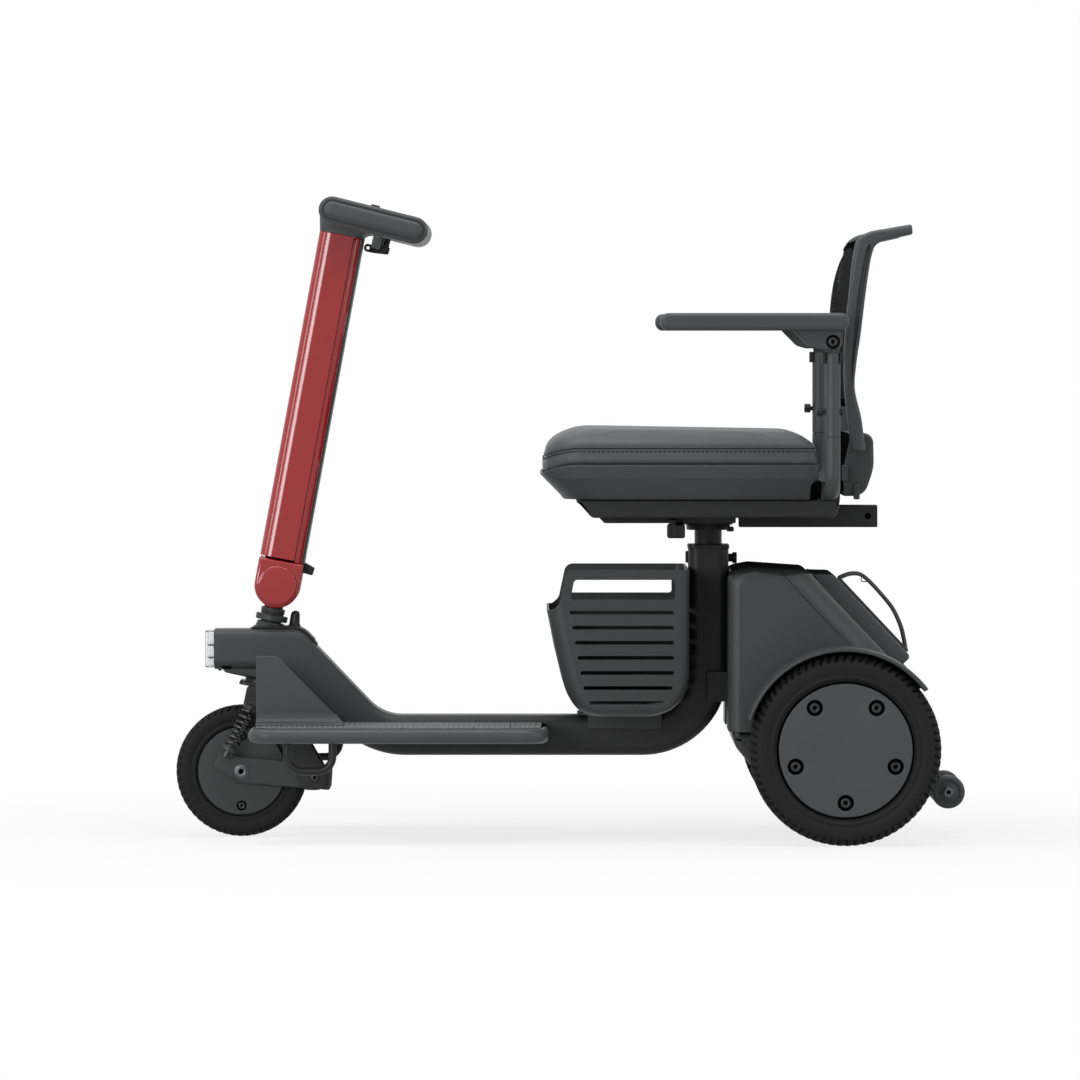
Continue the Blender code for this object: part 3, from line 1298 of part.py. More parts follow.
def make_backrest():
    hinge_x, hinge_z = BACK_HINGE
    half = HOUSING_W / 2
    front = ARM_X + 0.0128 + GAP
    outline = rounded([
        (front, 0.4618, 0), (0.3880, 0.4618, 0.014), (0.4030, 0.4850, 0.016),
        (0.4030, 0.5450, 0.014), (0.3690, 0.5450, 0.010), (front, 0.5000, 0.010),
    ])
    housing = side_plate("hinge_housing", outline, -half, half)
    depth = half - 0.030
    bores = []
    for side in SIDES:
        inner = (hinge_x, side * depth, hinge_z)
        bores.append(
            cylinder("hinge_bore", inner, (hinge_x, side * (half + 0.01), hinge_z), hole(BACK_PIN_R))
        )
    put(cut(bevel(housing, 0.004), *bores), "plastic", seat)

    band = rounded([
        (0.3735, hinge_z - 0.0080, 0.006),
        (0.3655, 0.6000, 0.080),
        (0.3660, 0.7090, 0.200),
        (0.3790, 0.8070, 0.014),
        (0.4520, 0.8235, 0.003),
        (0.4540, 0.8095, 0.003),
        (0.4050, 0.8000, 0.014),
        (0.3910, 0.7140, 0.200),
        (0.3760, 0.6080, 0.040),
        (0.3955, hinge_z + 0.0020, 0.006),
        (0.3890, hinge_z - 0.0085, 0.006),
    ])
    inner = BAND_Y - BAND_T / 2
    rails = (
        ("top_rail", 0.3800, 0.7985, 0.0080), ("grab_bar", 0.4460, 0.8150, 0.0066),
        ("low_rail", 0.3712, 0.5850, 0.0050),
    )
    frame = side_plate("backrest_frame", band, inner, BAND_Y + BAND_T / 2)
    other = side_plate("band", band, -inner, -BAND_Y - BAND_T / 2)
    join(frame, *[
        cylinder(name, (x, -BAND_Y, z), (x, BAND_Y, z), r) for name, x, z, r in rails
    ])
    join(frame, other)
    for side in SIDES:
        tip = (hinge_x, side * (depth + 0.0015), hinge_z)
        join(frame, cylinder("hinge_pin", tip, (hinge_x, side * BAND_Y, hinge_z), BACK_PIN_R))
    put(frame, "plastic", backrest)

    low = Vector((rails[2][1] - 0.001, rails[2][2] + rails[2][3] + NET_T / 2))
    high = Vector((rails[0][1], rails[0][2] - rails[0][3] - NET_T))
    bow = 0.0175
    span = inner - GAP
    across = net_lines(2 * span, NET_COLUMNS)
    upward = net_lines((high - low).length, NET_ROWS)
    shape = bmesh.new()
    knots = []
    for rise in upward:
        t = rise / upward[-1]
        line = low.lerp(high, t)
        x = line.x - bow * 4 * t * (1 - t) - NET_T / 2
        knots.append([shape.verts.new((x, y - span, line.y)) for y in across])
    for row in range(len(upward) - 1):
        for column in range(len(across) - 1):
            if row % 2 and column % 2:
                continue
            corners = (knots[row][column], knots[row][column + 1])
            shape.faces.new((*corners, knots[row + 1][column + 1], knots[row + 1][column]))
    for loose in [knot for knot in shape.verts if not knot.link_faces]:
        shape.verts.remove(loose)
    sheet = bmesh.ops.extrude_face_region(shape, geom=shape.faces[:], use_keep_orig=True)
    moved = [part for part in sheet["geom"] if isinstance(part, bmesh.types.BMVert)]
    bmesh.ops.translate(shape, verts=moved, vec=(NET_T, 0, 0))
    net = from_bmesh("back_net", shape)
    put(net, "net", backrest)


make_main_frame()
make_head_cap()
make_headlight()
make_rear_cover()
make_tray_and_drive()
make_anti_tip()
make_fork()
make_front_arm()
make_front_wheel()
make_tiller()
make_handle()
make_basket()
make_battery()
make_seat_post()
make_seat_frame()
make_seat_pan()
make_cushion()
make_backrest()
for scooter_side in SIDES:
    make_deck(scooter_side)
    make_rear_wheel(scooter_side)
    make_arms(scooter_side)
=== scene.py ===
import json
import math

import bmesh
import bpy
from mathutils import Matrix, Vector
from mathutils.bvhtree import BVHTree


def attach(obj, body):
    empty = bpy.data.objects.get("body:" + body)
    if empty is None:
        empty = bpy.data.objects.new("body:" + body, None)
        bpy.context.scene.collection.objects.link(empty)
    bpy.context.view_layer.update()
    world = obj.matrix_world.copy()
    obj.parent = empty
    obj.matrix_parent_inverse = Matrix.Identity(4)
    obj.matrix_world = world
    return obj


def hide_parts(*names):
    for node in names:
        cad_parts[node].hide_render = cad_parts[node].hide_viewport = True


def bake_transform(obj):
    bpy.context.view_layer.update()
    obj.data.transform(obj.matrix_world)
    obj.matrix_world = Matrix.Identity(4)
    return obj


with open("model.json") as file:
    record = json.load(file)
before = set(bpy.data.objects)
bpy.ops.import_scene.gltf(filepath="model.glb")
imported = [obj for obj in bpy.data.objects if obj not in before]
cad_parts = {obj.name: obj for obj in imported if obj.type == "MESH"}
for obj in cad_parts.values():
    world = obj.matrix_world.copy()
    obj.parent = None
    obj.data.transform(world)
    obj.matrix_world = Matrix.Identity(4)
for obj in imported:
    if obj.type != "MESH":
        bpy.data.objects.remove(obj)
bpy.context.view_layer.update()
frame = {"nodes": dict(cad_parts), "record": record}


# Shader maths: a socket that takes part in expressions
class Wire:
    def __init__(self, tree, plug=None):
        self.tree = tree
        self.plug = plug

    def node(self, kind, settings=None, sockets=None, out=0):
        made = self.tree.nodes.new("ShaderNode" + kind)
        for key, value in (settings or {}).items():
            if key == "stops":
                marks = made.color_ramp.elements
                for k, (at, tone) in enumerate(value):
                    mark = marks[k] if k < len(marks) else marks.new(at)
                    mark.position = at
                    mark.color = (tone, tone, tone, 1)
            else:
                setattr(made, key, value)
        for key, value in (sockets or {}).items():
            if isinstance(value, Wire):
                self.tree.links.new(value.plug, made.inputs[key])
            else:
                made.inputs[key].default_value = value
        return Wire(self.tree, made.outputs[out])

    def maths(self, operation, a, b):
        return self.node("Math", {"operation": operation}, {0: a, 1: b})

    def __add__(self, other):
        return self.maths("ADD", self, other)

    def __radd__(self, other):
        return self.maths("ADD", other, self)

    def __sub__(self, other):
        return self.maths("SUBTRACT", self, other)

    def __rsub__(self, other):
        return self.maths("SUBTRACT", other, self)

    def __mul__(self, other):
        return self.maths("MULTIPLY", self, other)

    def __rmul__(self, other):
        return self.maths("MULTIPLY", other, self)

    def __gt__(self, other):
        return self.maths("GREATER_THAN", self, other)

    def sine(self, scale):
        return self.node("Math", {"operation": "SINE"}, {0: self * scale})

    def tint(self, dark, light):
        sockets = {0: self, 6: (*dark, 1), 7: (*light, 1)}
        return self.node("Mix", {"data_type": "RGBA"}, sockets, 2)


def newFinish(name, fixed):
    made = bpy.data.materials.new(name)
    made.use_nodes = True
    shader = made.node_tree.nodes["Principled BSDF"]
    for key, value in fixed.items():
        shader.inputs[key].default_value = value
    return made, Wire(made.node_tree), shader


def feed(wire, shader, **links):
    names = {"colour": "Base Color", "rough": "Roughness", "normal": "Normal", "alpha": "Alpha"}
    for key, value in links.items():
        wire.tree.links.new(value.plug, shader.inputs[names[key]])


def cloud(wire, place, scale, detail=3.0):
    return wire.node("TexNoise", None, {"Vector": place, "Scale": scale, "Detail": detail}, "Fac")


def axisOf(wire, place, axis):
    return wire.node("SeparateXYZ", None, {0: place}, axis)


def raised(wire, height, strength, depth):
    return wire.node("Bump", None, {"Strength": strength, "Distance": depth, "Height": height}, "Normal")


# Finishes that share one recipe: a fine grain, a broad drift of tone and paler worn edges
plainLook = dict(
    grain=900, drift=12, rough=0.40, spread=0.16, bump=0.20, depth=0.0002, wear=0.0, specular=0.20, metal=0
)
# What each finish has of its own
grainyLooks = {
    "mouldedPlastic": dict(dark=(0.039, 0.0405, 0.0418), light=(0.056, 0.058, 0.0598), grain=1500, drift=9,
                           rough=0.44, bump=0.22, depth=0.00025, wear=0.22),
    "headPlastic": dict(dark=(0.027, 0.028, 0.0289), light=(0.0415, 0.0429, 0.0442), grain=1300, drift=7,
                        spread=0.14, bump=0.18, depth=0.00025, wear=0.18),
    "satinPaint": dict(dark=(0.012, 0.0123, 0.0128), light=(0.021, 0.0215, 0.022), grain=420, drift=8,
                       spread=0.12, bump=0.16, depth=0.0003, wear=0.30, specular=0.18),
    "blackPlastic": dict(dark=(0.006, 0.006, 0.0063), light=(0.013, 0.013, 0.0135), grain=1200, drift=14,
                         rough=0.46, spread=0.18, depth=0.00025, wear=0.22),
    "tyreRubber": dict(dark=(0.0075, 0.0076, 0.0078), light=(0.0165, 0.0166, 0.017), grain=700, drift=26,
                       rough=0.72, bump=0.35, depth=0.0004, wear=0.20, specular=0.12),
    "wheelPlastic": dict(dark=(0.045, 0.0465, 0.048), light=(0.064, 0.066, 0.068), grain=1100, depth=0.00025,
                         wear=0.22),
    # Painted light: paler than the cover's plastic, so the pack stands out of the shade of the cover's bay
    "packLitPlastic": dict(dark=(0.062, 0.064, 0.066), light=(0.086, 0.088, 0.090), grain=1100, rough=0.46,
                        depth=0.00025, wear=0.22, specular=0.14),
    "deckRubber": dict(dark=(0.068, 0.0695, 0.072), light=(0.108, 0.1098, 0.1135), grain=850, drift=18,
                       rough=0.62, spread=0.18, bump=0.40, depth=0.0004, wear=0.15, specular=0.18),
    "dotRubber": dict(dark=(0.085, 0.086, 0.089), light=(0.13, 0.131, 0.135), grain=850, drift=18, rough=0.55,
                      spread=0.18, bump=0.30, depth=0.0003, wear=0.15, specular=0.18),
    "lampWhite": dict(dark=(0.60, 0.61, 0.62), light=(0.76, 0.77, 0.78), drift=40, rough=0.30, spread=0.10,
                      bump=0.05, specular=0.3),
    # Near-black, used for painted shade in grooves, gaps, sockets and hollows, and for dark seams and hems
    "recessBlack": dict(dark=(0.002, 0.002, 0.002), light=(0.005, 0.005, 0.005), drift=20, rough=0.80,
                        spread=0.10, depth=0.0003, specular=0.0),
    "zincSteel": dict(dark=(0.045, 0.045, 0.047), light=(0.115, 0.115, 0.12), drift=60, rough=0.34, spread=0.18,
                      bump=0.10, wear=0.15, specular=0.5, metal=1.0),
    "darkBolt": dict(dark=(0.016, 0.016, 0.0165), light=(0.050, 0.050, 0.052), drift=80, rough=0.36, bump=0.10,
                     wear=0.30, specular=0.5, metal=1.0),
    "springSteel": dict(dark=(0.020, 0.020, 0.021), light=(0.075, 0.075, 0.078), grain=1400, drift=90,
                        rough=0.26, spread=0.14, bump=0.10, wear=0.10, specular=0.5, metal=1.0),
    "mirrorSteel": dict(dark=(0.72, 0.73, 0.74), light=(0.86, 0.87, 0.88), grain=500, drift=40, rough=0.12,
                        spread=0.08, bump=0.04, specular=0.5, metal=1.0),
    "seamThread": dict(dark=(0.004, 0.004, 0.004), light=(0.012, 0.012, 0.012), grain=3000, drift=300,
                       rough=0.70, spread=0.10, bump=0.50, specular=0.10),
}


def grainy(name, look):
    made, wire, shader = newFinish(name, {"Specular IOR Level": look["specular"], "Metallic": look["metal"]})
    place = wire.node("TexCoord", out="Object")
    fine = cloud(wire, place, look["grain"], 2.0)
    broad = cloud(wire, place, look["drift"], 4.0)
    edge = wire.node("NewGeometry", out="Pointiness")
    worn = wire.node("ValToRGB", {"stops": [(0.515, 0.0), (0.60, 1.0)]}, {"Fac": edge})
    tone = broad * 0.75 + fine * 0.25 + worn * look["wear"]
    rough = look["rough"] + (broad - 0.5) * look["spread"] + (fine - 0.5) * 0.10
    feed(
        wire, shader, colour=tone.tint(look["dark"], look["light"]), rough=rough,
        normal=raised(wire, fine + broad * 0.3, look["bump"], look["depth"])
    )
    return made


finishes = {name: grainy(name, dict(plainLook, **look)) for name, look in grainyLooks.items()}


enamelLook = dict(dark=(0.245, 0.0075, 0.0095), light=(0.335, 0.0125, 0.0155), flake=2600, drift=5)


def redEnamel():
    fixed = {"Coat Weight": 1.0, "Coat Roughness": 0.045, "Coat IOR": 1.5, "Specular IOR Level": 0.0}
    made, wire, shader = newFinish("redEnamel", fixed)
    place = wire.node("TexCoord", out="Object")
    flake = wire.node("TexVoronoi", None, {"Vector": place, "Scale": enamelLook["flake"]}, "Distance")
    drift = cloud(wire, place, enamelLook["drift"], 3.0)
    peel = cloud(wire, place, 260.0, 2.0)
    tone = drift * 0.6 + flake * 0.4
    feed(
        wire, shader, colour=tone.tint(enamelLook["dark"], enamelLook["light"]), rough=0.34 + flake * 0.10,
        normal=raised(wire, peel, 0.05, 0.0002)
    )
    return made


vinylLook = dict(dark=(0.046, 0.049, 0.051), light=(0.066, 0.070, 0.073), pebble=620, crease=170)


def seatVinyl():
    made, wire, shader = newFinish("seatVinyl", {"Specular IOR Level": 0.22})
    place = wire.node("TexCoord", out="Object")
    bend = wire.node("TexNoise", None, {"Vector": place, "Scale": 120.0, "Detail": 2.0}, "Color")
    stray = wire.node("Mix", {"data_type": "RGBA"}, {0: 0.004, 6: place, 7: bend}, 2)
    pebble = wire.node(
        "TexVoronoi", {"feature": "DISTANCE_TO_EDGE"}, {"Vector": stray, "Scale": vinylLook["pebble"]}
    )
    crease = cloud(wire, place, vinylLook["crease"], 4.0)
    grain = wire.node("ValToRGB", {"stops": [(0.0, 0.0), (0.16, 1.0)]}, {"Fac": pebble})
    drift = cloud(wire, place, 7.0, 4.0)
    tone = drift * 0.6 + grain * 0.25 + crease * 0.15
    feed(
        wire, shader, colour=tone.tint(vinylLook["dark"], vinylLook["light"]),
        rough=0.50 - grain * 0.10 + (drift - 0.5) * 0.14,
        normal=raised(wire, grain * 0.7 + crease * 0.3, 0.30, 0.0004)
    )
    return made


meshLook = dict(dark=(0.006, 0.006, 0.0062), light=(0.034, 0.0345, 0.0355), pitch=0.0034)


def backMesh():
    made, wire, shader = newFinish("backMesh", {"Specular IOR Level": 0.0})
    place = wire.node("TexCoord", out="Object")
    across = axisOf(wire, place, 1)
    upward = axisOf(wire, place, 2)
    turn = 2 * math.pi / meshLook["pitch"]
    holes = across.sine(turn) * upward.sine(turn * 0.8)
    solid = 1 - ((holes * holes) > 0.62)
    thread = (across + upward).sine(turn * 2.0) * 0.5 + 0.5
    fuzz = cloud(wire, place, 900.0, 2.0)
    feed(
        wire, shader, colour=(thread * 0.6 + fuzz * 0.4).tint(meshLook["dark"], meshLook["light"]),
        rough=0.70 + fuzz * 0.15, alpha=solid, normal=raised(wire, thread + holes, 0.25, 0.0004)
    )
    return made


webLook = dict(dark=(0.050, 0.050, 0.052), light=(0.105, 0.105, 0.108), rib=0.0016)


def strapWeb():
    made, wire, shader = newFinish("strapWeb", {"Specular IOR Level": 0.15})
    place = wire.node("TexCoord", out="Object")
    along = axisOf(wire, place, 0)
    across = axisOf(wire, place, 1)
    ribs = across.sine(2 * math.pi / webLook["rib"])
    picks = (along + across * 0.5).sine(2 * math.pi / (webLook["rib"] * 0.8))
    weave = (ribs * picks) * 0.5 + 0.5
    fuzz = cloud(wire, place, 1500.0, 2.0)
    feed(
        wire, shader, colour=(weave * 0.7 + fuzz * 0.3).tint(webLook["dark"], webLook["light"]),
        rough=0.60 + fuzz * 0.2, normal=raised(wire, weave, 0.5, 0.0004)
    )
    return made


def clearLens():
    fixed = {"Transmission Weight": 1.0, "IOR": 1.49}
    made, wire, shader = newFinish("clearLens", fixed)
    place = wire.node("TexCoord", out="Object")
    haze = cloud(wire, place, 40.0, 3.0)
    feed(
        wire, shader, colour=haze.tint((0.93, 0.94, 0.95), (0.99, 0.99, 1.0)), rough=0.02 + haze * 0.05,
        normal=raised(wire, cloud(wire, place, 300.0), 0.04, 0.0002)
    )
    return made


# Painted light and shade that run from one tone to another along an axis
runLooks = {
    # Painted light and shade on the frame: paler at the moulded head where more light falls, darker towards the
    # seat tube in the shade under the seat
    "frameShadeRun": dict(start=-0.40, end=0.12, axis=0, specular=0.18,
                      first=(0.044, 0.0455, 0.047), last=(0.0140, 0.0143, 0.0148)),
    # Painted shade inside the basket: darker the deeper it goes
    "basketInnerShade": dict(start=0.294, end=0.316, axis=2, specular=0.18,
                         first=(0.011, 0.011, 0.0114), last=(0.058, 0.060, 0.062)),
    # Painted shade on the cover: dark along the top, under the seat
    "coverShadeRun": dict(start=0.348, end=0.3715, axis=2, specular=0.20,
                      first=(0.0450, 0.0465, 0.0478), last=(0.0065, 0.0066, 0.0068)),
}
# The same painted shade with no shine, for faces that look up
runLooks["coverTopShade"] = dict(runLooks["coverShadeRun"], specular=0.0)


def shadeRunFinish(name, look):
    made, wire, shader = newFinish(name, {"Specular IOR Level": look["specular"]})
    place = wire.node("TexCoord", out="Object")
    along = axisOf(wire, place, look["axis"])
    run = wire.node("MapRange", None, {"Value": along, "From Min": look["start"], "From Max": look["end"]})
    grain = cloud(wire, place, 900.0, 2.0)
    drift = cloud(wire, place, 8.0, 4.0)
    tone = run * 0.86 + drift * 0.20 + grain * 0.08 - 0.08
    feed(
        wire, shader, colour=tone.tint(look["first"], look["last"]),
        rough=0.42 + (drift - 0.5) * 0.14 + (grain - 0.5) * 0.10, normal=raised(wire, grain, 0.18, 0.0003)
    )
    return made


for maker in (redEnamel, seatVinyl, backMesh, strapWeb, clearLens):
    finishes[maker.__name__] = maker()
for name, look in runLooks.items():
    finishes[name] = shadeRunFinish(name, look)
print("finishes:", len(finishes))

nodeFinish = {
    "painted_steel": "satinPaint", "plastic": "mouldedPlastic", "black_plastic": "blackPlastic",
    "rubber": "tyreRubber", "red_enamel": "redEnamel", "vinyl": "seatVinyl", "net": "backMesh",
    "clear": "clearLens", "steel": "zincSteel"
}
for part in frame["record"]["subparts"]:
    shown = frame["nodes"][part["node"]]
    shown.data.materials.clear()
    shown.data.materials.append(finishes[nodeFinish[part["material_slot"]]])


# Shapes
level = Matrix()
sides = {-1: "left", 1: "right"}


def roundPath(corners, step=6):
    # Corners are (x, z, radius), and each radius becomes an arc
    points = []
    for i, (x, z, radius) in enumerate(corners):
        corner = Vector((x, z))
        if radius == 0:
            points.append(corner)
            continue
        before = (Vector(corners[i - 1][:2]) - corner).normalized()
        after = (Vector(corners[(i + 1) % len(corners)][:2]) - corner).normalized()
        half = before.angle(after) / 2
        centre = corner + (before + after).normalized() * radius / math.sin(half)
        start = corner + before * radius / math.tan(half) - centre
        end = corner + after * radius / math.tan(half) - centre
        turn = math.atan2(start.x * end.y - start.y * end.x, start.dot(end))
        steps = max(2, round(abs(math.degrees(turn)) / step))
        points += [centre + Matrix.Rotation(turn * k / steps, 2) @ start for k in range(steps + 1)]
    return points


def rounded(low, high, radius, step=6):
    # A rectangle between two corners, with rounded corners
    return roundPath([
        (*low, radius), (high[0], low[1], radius), (*high, radius), (low[0], high[1], radius)
    ], step)


def arcPath(centre, radius, start, end, steps):
    turns = [math.radians(start + (end - start) * k / steps) for k in range(steps + 1)]
    return [Vector((centre[0] + radius * math.cos(t), centre[1] + radius * math.sin(t))) for t in turns]


def circle(centre, radius, steps):
    return arcPath(centre, radius, 0, 360, steps)[:-1]


def mirrored(half):
    # A lathe profile with its other half below
    return half + [(r, -z) for r, z in half[::-1]]


def linked(name, data):
    made = bpy.data.objects.new(name, data)
    bpy.context.scene.collection.objects.link(made)
    return made


def asMesh(name, shape):
    mesh = bpy.data.meshes.new(name)
    shape.to_mesh(mesh)
    shape.free()
    return linked(name, mesh)


def shaped(name, shape, base=level, smooth=40):
    bmesh.ops.remove_doubles(shape, verts=shape.verts, dist=1e-6)
    bmesh.ops.recalc_face_normals(shape, faces=shape.faces)
    bmesh.ops.transform(shape, matrix=base, verts=shape.verts)
    return shade(asMesh(name, shape), smooth)


def shade(made, smooth=40):
    made.data.shade_smooth()
    made.data.set_sharp_from_angle(angle=math.radians(smooth))
    return made


def settle(made):
    # Modifiers become part of the mesh
    bpy.context.view_layer.update()
    graph = bpy.context.evaluated_depsgraph_get()
    mesh = bpy.data.meshes.new_from_object(made.evaluated_get(graph))
    made.modifiers.clear()
    made.data = mesh
    return made


def plateOf(name, outline, low, high, edge=0.0, base=level, holes=(), steps=2, flat=False):
    # An outline in X and Z from low to high in Y, or with flat in X and Y from low to high in Z
    sheet = bpy.data.curves.new(name, "CURVE")
    sheet.dimensions = "2D"
    sheet.fill_mode = "BOTH"
    sheet.extrude = abs(high - low) / 2 - edge
    sheet.bevel_depth = edge
    sheet.bevel_resolution = steps
    sheet.offset = -edge
    for loop in (outline, *holes):
        line = sheet.splines.new("POLY")
        line.points.add(len(loop) - 1)
        for knot, (x, y) in zip(line.points, loop):
            knot.co = (x, y, 0, 1)
        line.use_cyclic_u = True
    curve = linked(name, sheet)
    bpy.context.view_layer.update()
    mesh = bpy.data.meshes.new_from_object(curve.evaluated_get(bpy.context.evaluated_depsgraph_get()))
    bpy.data.objects.remove(curve)
    shape = bmesh.new()
    shape.from_mesh(mesh)
    middle = (low + high) / 2
    if flat:
        place = Matrix.Translation((0, 0, middle))
    else:
        place = Matrix.Translation((0, middle, 0)) @ Matrix.Rotation(math.pi / 2, 4, "X")
    return weigh(shaped(name, shape, base @ place))


def weigh(made):
    # Flat faces keep flat shading beside rounded edges
    even = made.modifiers.new("weigh", "WEIGHTED_NORMAL")
    even.keep_sharp = True
    return made


def lathed(name, profile, base=level, steps=96, closed=True, relief=None, hexFrom=None, smooth=40):
    # A profile of (radius, height) spun about the base's Z axis; relief moves single points
    shape = bmesh.new()
    rings = []
    for k in range(steps):
        turn = 2 * math.pi * k / steps
        ring = []
        for i, (r, z) in enumerate(profile):
            if hexFrom is not None and i >= hexFrom:
                r = r * math.cos(math.pi / 6) / math.cos(turn % (math.pi / 3) - math.pi / 6)
            if relief:
                r, z = relief(turn, i, r, z)
            ring.append(shape.verts.new((r * math.cos(turn), r * math.sin(turn), z)))
        rings.append(ring)
    count = len(profile)
    for k in range(steps):
        for i in range(count if closed else count - 1):
            j = (i + 1) % count
            shape.faces.new((rings[k - 1][i], rings[k - 1][j], rings[k][j], rings[k][i]))
    bmesh.ops.remove_doubles(shape, verts=shape.verts, dist=1e-7)
    return shaped(name, shape, base, smooth)


def piped(name, path, radius, around=18, base=level, closed=False, smooth=50):
    # A round bar along a path; radius is one number or one for each point
    path = [Vector(p) for p in path]
    count = len(path)
    shape = bmesh.new()
    rings = []
    normal = None
    for i, point in enumerate(path):
        if closed:
            along = (path[(i + 1) % count] - path[i - 1]).normalized()
        else:
            along = (path[min(i + 1, count - 1)] - path[max(i - 1, 0)]).normalized()
        if normal is None:
            normal = along.orthogonal().normalized()
        normal = (normal - along * normal.dot(along)).normalized()
        third = along.cross(normal)
        r = radius[i] if isinstance(radius, (list, tuple)) else radius
        turns = [2 * math.pi * k / around for k in range(around)]
        rings.append([shape.verts.new(point + r * (normal * math.cos(t) + third * math.sin(t))) for t in turns])
    for i in range(count if closed else count - 1):
        for k in range(around):
            j = (i + 1) % count
            shape.faces.new((rings[i][k - 1], rings[i][k], rings[j][k], rings[j][k - 1]))
    if not closed:
        shape.faces.new(rings[0])
        shape.faces.new(rings[-1])
    return shaped(name, shape, base, smooth)


def bar(name, start, end, radius, edge=0.0006, around=32, base=level):
    # A straight round bar with softened ends
    start = Vector(start)
    end = Vector(end)
    along = (end - start).normalized()
    path = [
        start, start + along * edge * 0.3, start + along * edge, end - along * edge, end - along * edge * 0.3,
        end
    ]
    sizes = [radius - edge, radius - edge * 0.3, radius, radius, radius - edge * 0.3, radius - edge]
    return piped(name, path, sizes, around, base, smooth=45)


def lofted(name, rings, base=level, smooth=40, capped=True):
    shape = bmesh.new()
    rows = [[shape.verts.new(p) for p in ring] for ring in rings]
    count = len(rows[0])
    for low, high in zip(rows, rows[1:]):
        for i in range(count):
            shape.faces.new((low[i - 1], low[i], high[i], high[i - 1]))
    if capped:
        shape.faces.new(rows[0])
        shape.faces.new(rows[-1])
    return shaped(name, shape, base, smooth)


def block(name, low, high, edge=0.0015, base=level, segments=3):
    # A block with all its edges rounded
    low = Vector(low)
    high = Vector(high)
    shape = bmesh.new()
    size = Matrix.Diagonal((*(high - low), 1))
    bmesh.ops.create_cube(shape, size=1.0, matrix=Matrix.Translation((low + high) / 2) @ size)
    bmesh.ops.bevel(shape, geom=shape.edges[:], offset=edge, segments=segments, profile=0.5, affect="EDGES")
    return weigh(shaped(name, shape, base))


def sideBlock(name, side, x, y, z, edge=0.0015, base=level):
    low, high = sorted((side * y[0], side * y[1]))
    return block(name, (x[0], low, z[0]), (x[1], high, z[1]), edge, base)


def sidePlate(name, side, outline, y, edge=0.0, base=level, steps=2):
    low, high = sorted((side * y[0], side * y[1]))
    return plateOf(name, outline, low, high, edge, base, steps=steps)


def flow(marks, count):
    # A smooth line through marks in X and Z
    marks = [Vector(m) for m in marks]
    ends = [marks[0] * 2 - marks[1], *marks, marks[-1] * 2 - marks[-2]]
    line = []
    for k in range(count + 1):
        at = (len(marks) - 1) * k / count
        i = min(int(at), len(marks) - 2)
        t = at - i
        a, b, c, d = ends[i:i + 4]
        square = (2 * a - 5 * b + 4 * c - d) * t * t
        cube = (3 * b - a - 3 * c + d) * t ** 3
        line.append(0.5 * (2 * b + (c - a) * t + square + cube))
    return line


def ribbon(name, above, below, low, high, edge, base=level, cap=0.002):
    # A rounded bar between two matching lines in X and Z, its ends rounded over by cap
    def ring(a, b, inset):
        run = a - b
        tall = run.length - inset
        away = run.normalized()
        r = min(edge, (tall - inset) * 0.48, (high - low) * 0.48 - inset)
        section = rounded((inset, low + inset), (tall, high - inset), r, 10)
        return [(b.x + away.x * q.x, q.y, b.y + away.y * q.x) for q in section]

    rings = []
    for i, (a, b) in enumerate(zip(above, below)):
        if i in (0, len(above) - 1):
            inward = 1 if i == 0 else -1
            aWay = (above[i + inward] - a).normalized()
            bWay = (below[i + inward] - b).normalized()
            rolled = [
                ring(a + aWay * cap * out, b + bWay * cap * out, cap * inset) for out,
                inset in ((0, 1.0), (0.08, 0.6), (0.3, 0.28), (0.62, 0.07), (1.0, 0.0))
            ]
            rings += rolled if i == 0 else rolled[::-1]
        else:
            rings.append(ring(a, b, 0))
    return lofted(name, rings, base)


def cutAway(made, *cutters):
    if made.modifiers:
        settle(made)
    for cutter in cutters:
        if cutter.modifiers:
            settle(cutter)
        step = made.modifiers.new("cut", "BOOLEAN")
        step.operation = "DIFFERENCE"
        step.solver = "EXACT"
        step.object = cutter
        settle(made)
        bpy.data.objects.remove(cutter)
    return weigh(shade(made))


def gather(name, *members):
    # Several shells as one piece
    shape = bmesh.new()
    for member in members:
        if member.modifiers:
            settle(member)
        member.data.transform(member.matrix_world)
        shape.from_mesh(member.data)
        bpy.data.objects.remove(member)
    return weigh(asMesh(name, shape))


def outward(x, y, z, side):
    # A turning axis across the scooter, its Z pointing out on that side
    return Matrix.Translation((x, y, z)) @ Matrix.Rotation(-side * math.pi / 2, 4, "X")


def piece(made, body, slotName, finish, *nodes):
    made.data.materials.clear()
    made.data.materials.append(finishes[finish])
    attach(made, body)
    if nodes:
        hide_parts(*nodes)
    return made


def repaint(made, finish, chosen):
    # The chosen faces get a second finish
    made.data.materials.append(finishes[finish])
    for face in made.data.polygons:
        if chosen(face):
            face.material_index = 1


def socketBolt(name, base, radius, height, socket, shadeDiscs):
    # A round cap screw; the last argument gathers dark discs at the floors of the six-sided sockets: painted
    # shade in the sockets
    floor = height - height * 0.5
    wide = socket * 1.2
    plug = [(0, floor + 0.0003), (wide, floor + 0.0003), (wide, floor - 0.0003), (0, floor - 0.0003)]
    shadeDiscs.append(lathed("socketShadeDisc", plug, base, 24, closed=False))
    profile = [
        (radius, 0), (radius, height - 0.0008), (radius - 0.0003, height - 0.0003), (radius - 0.0009, height),
        (socket * 1.16, height), (socket, height - 0.0003), (socket, floor), (0, floor)
    ]
    return lathed(name, profile, base, 36, closed=False, hexFrom=5)


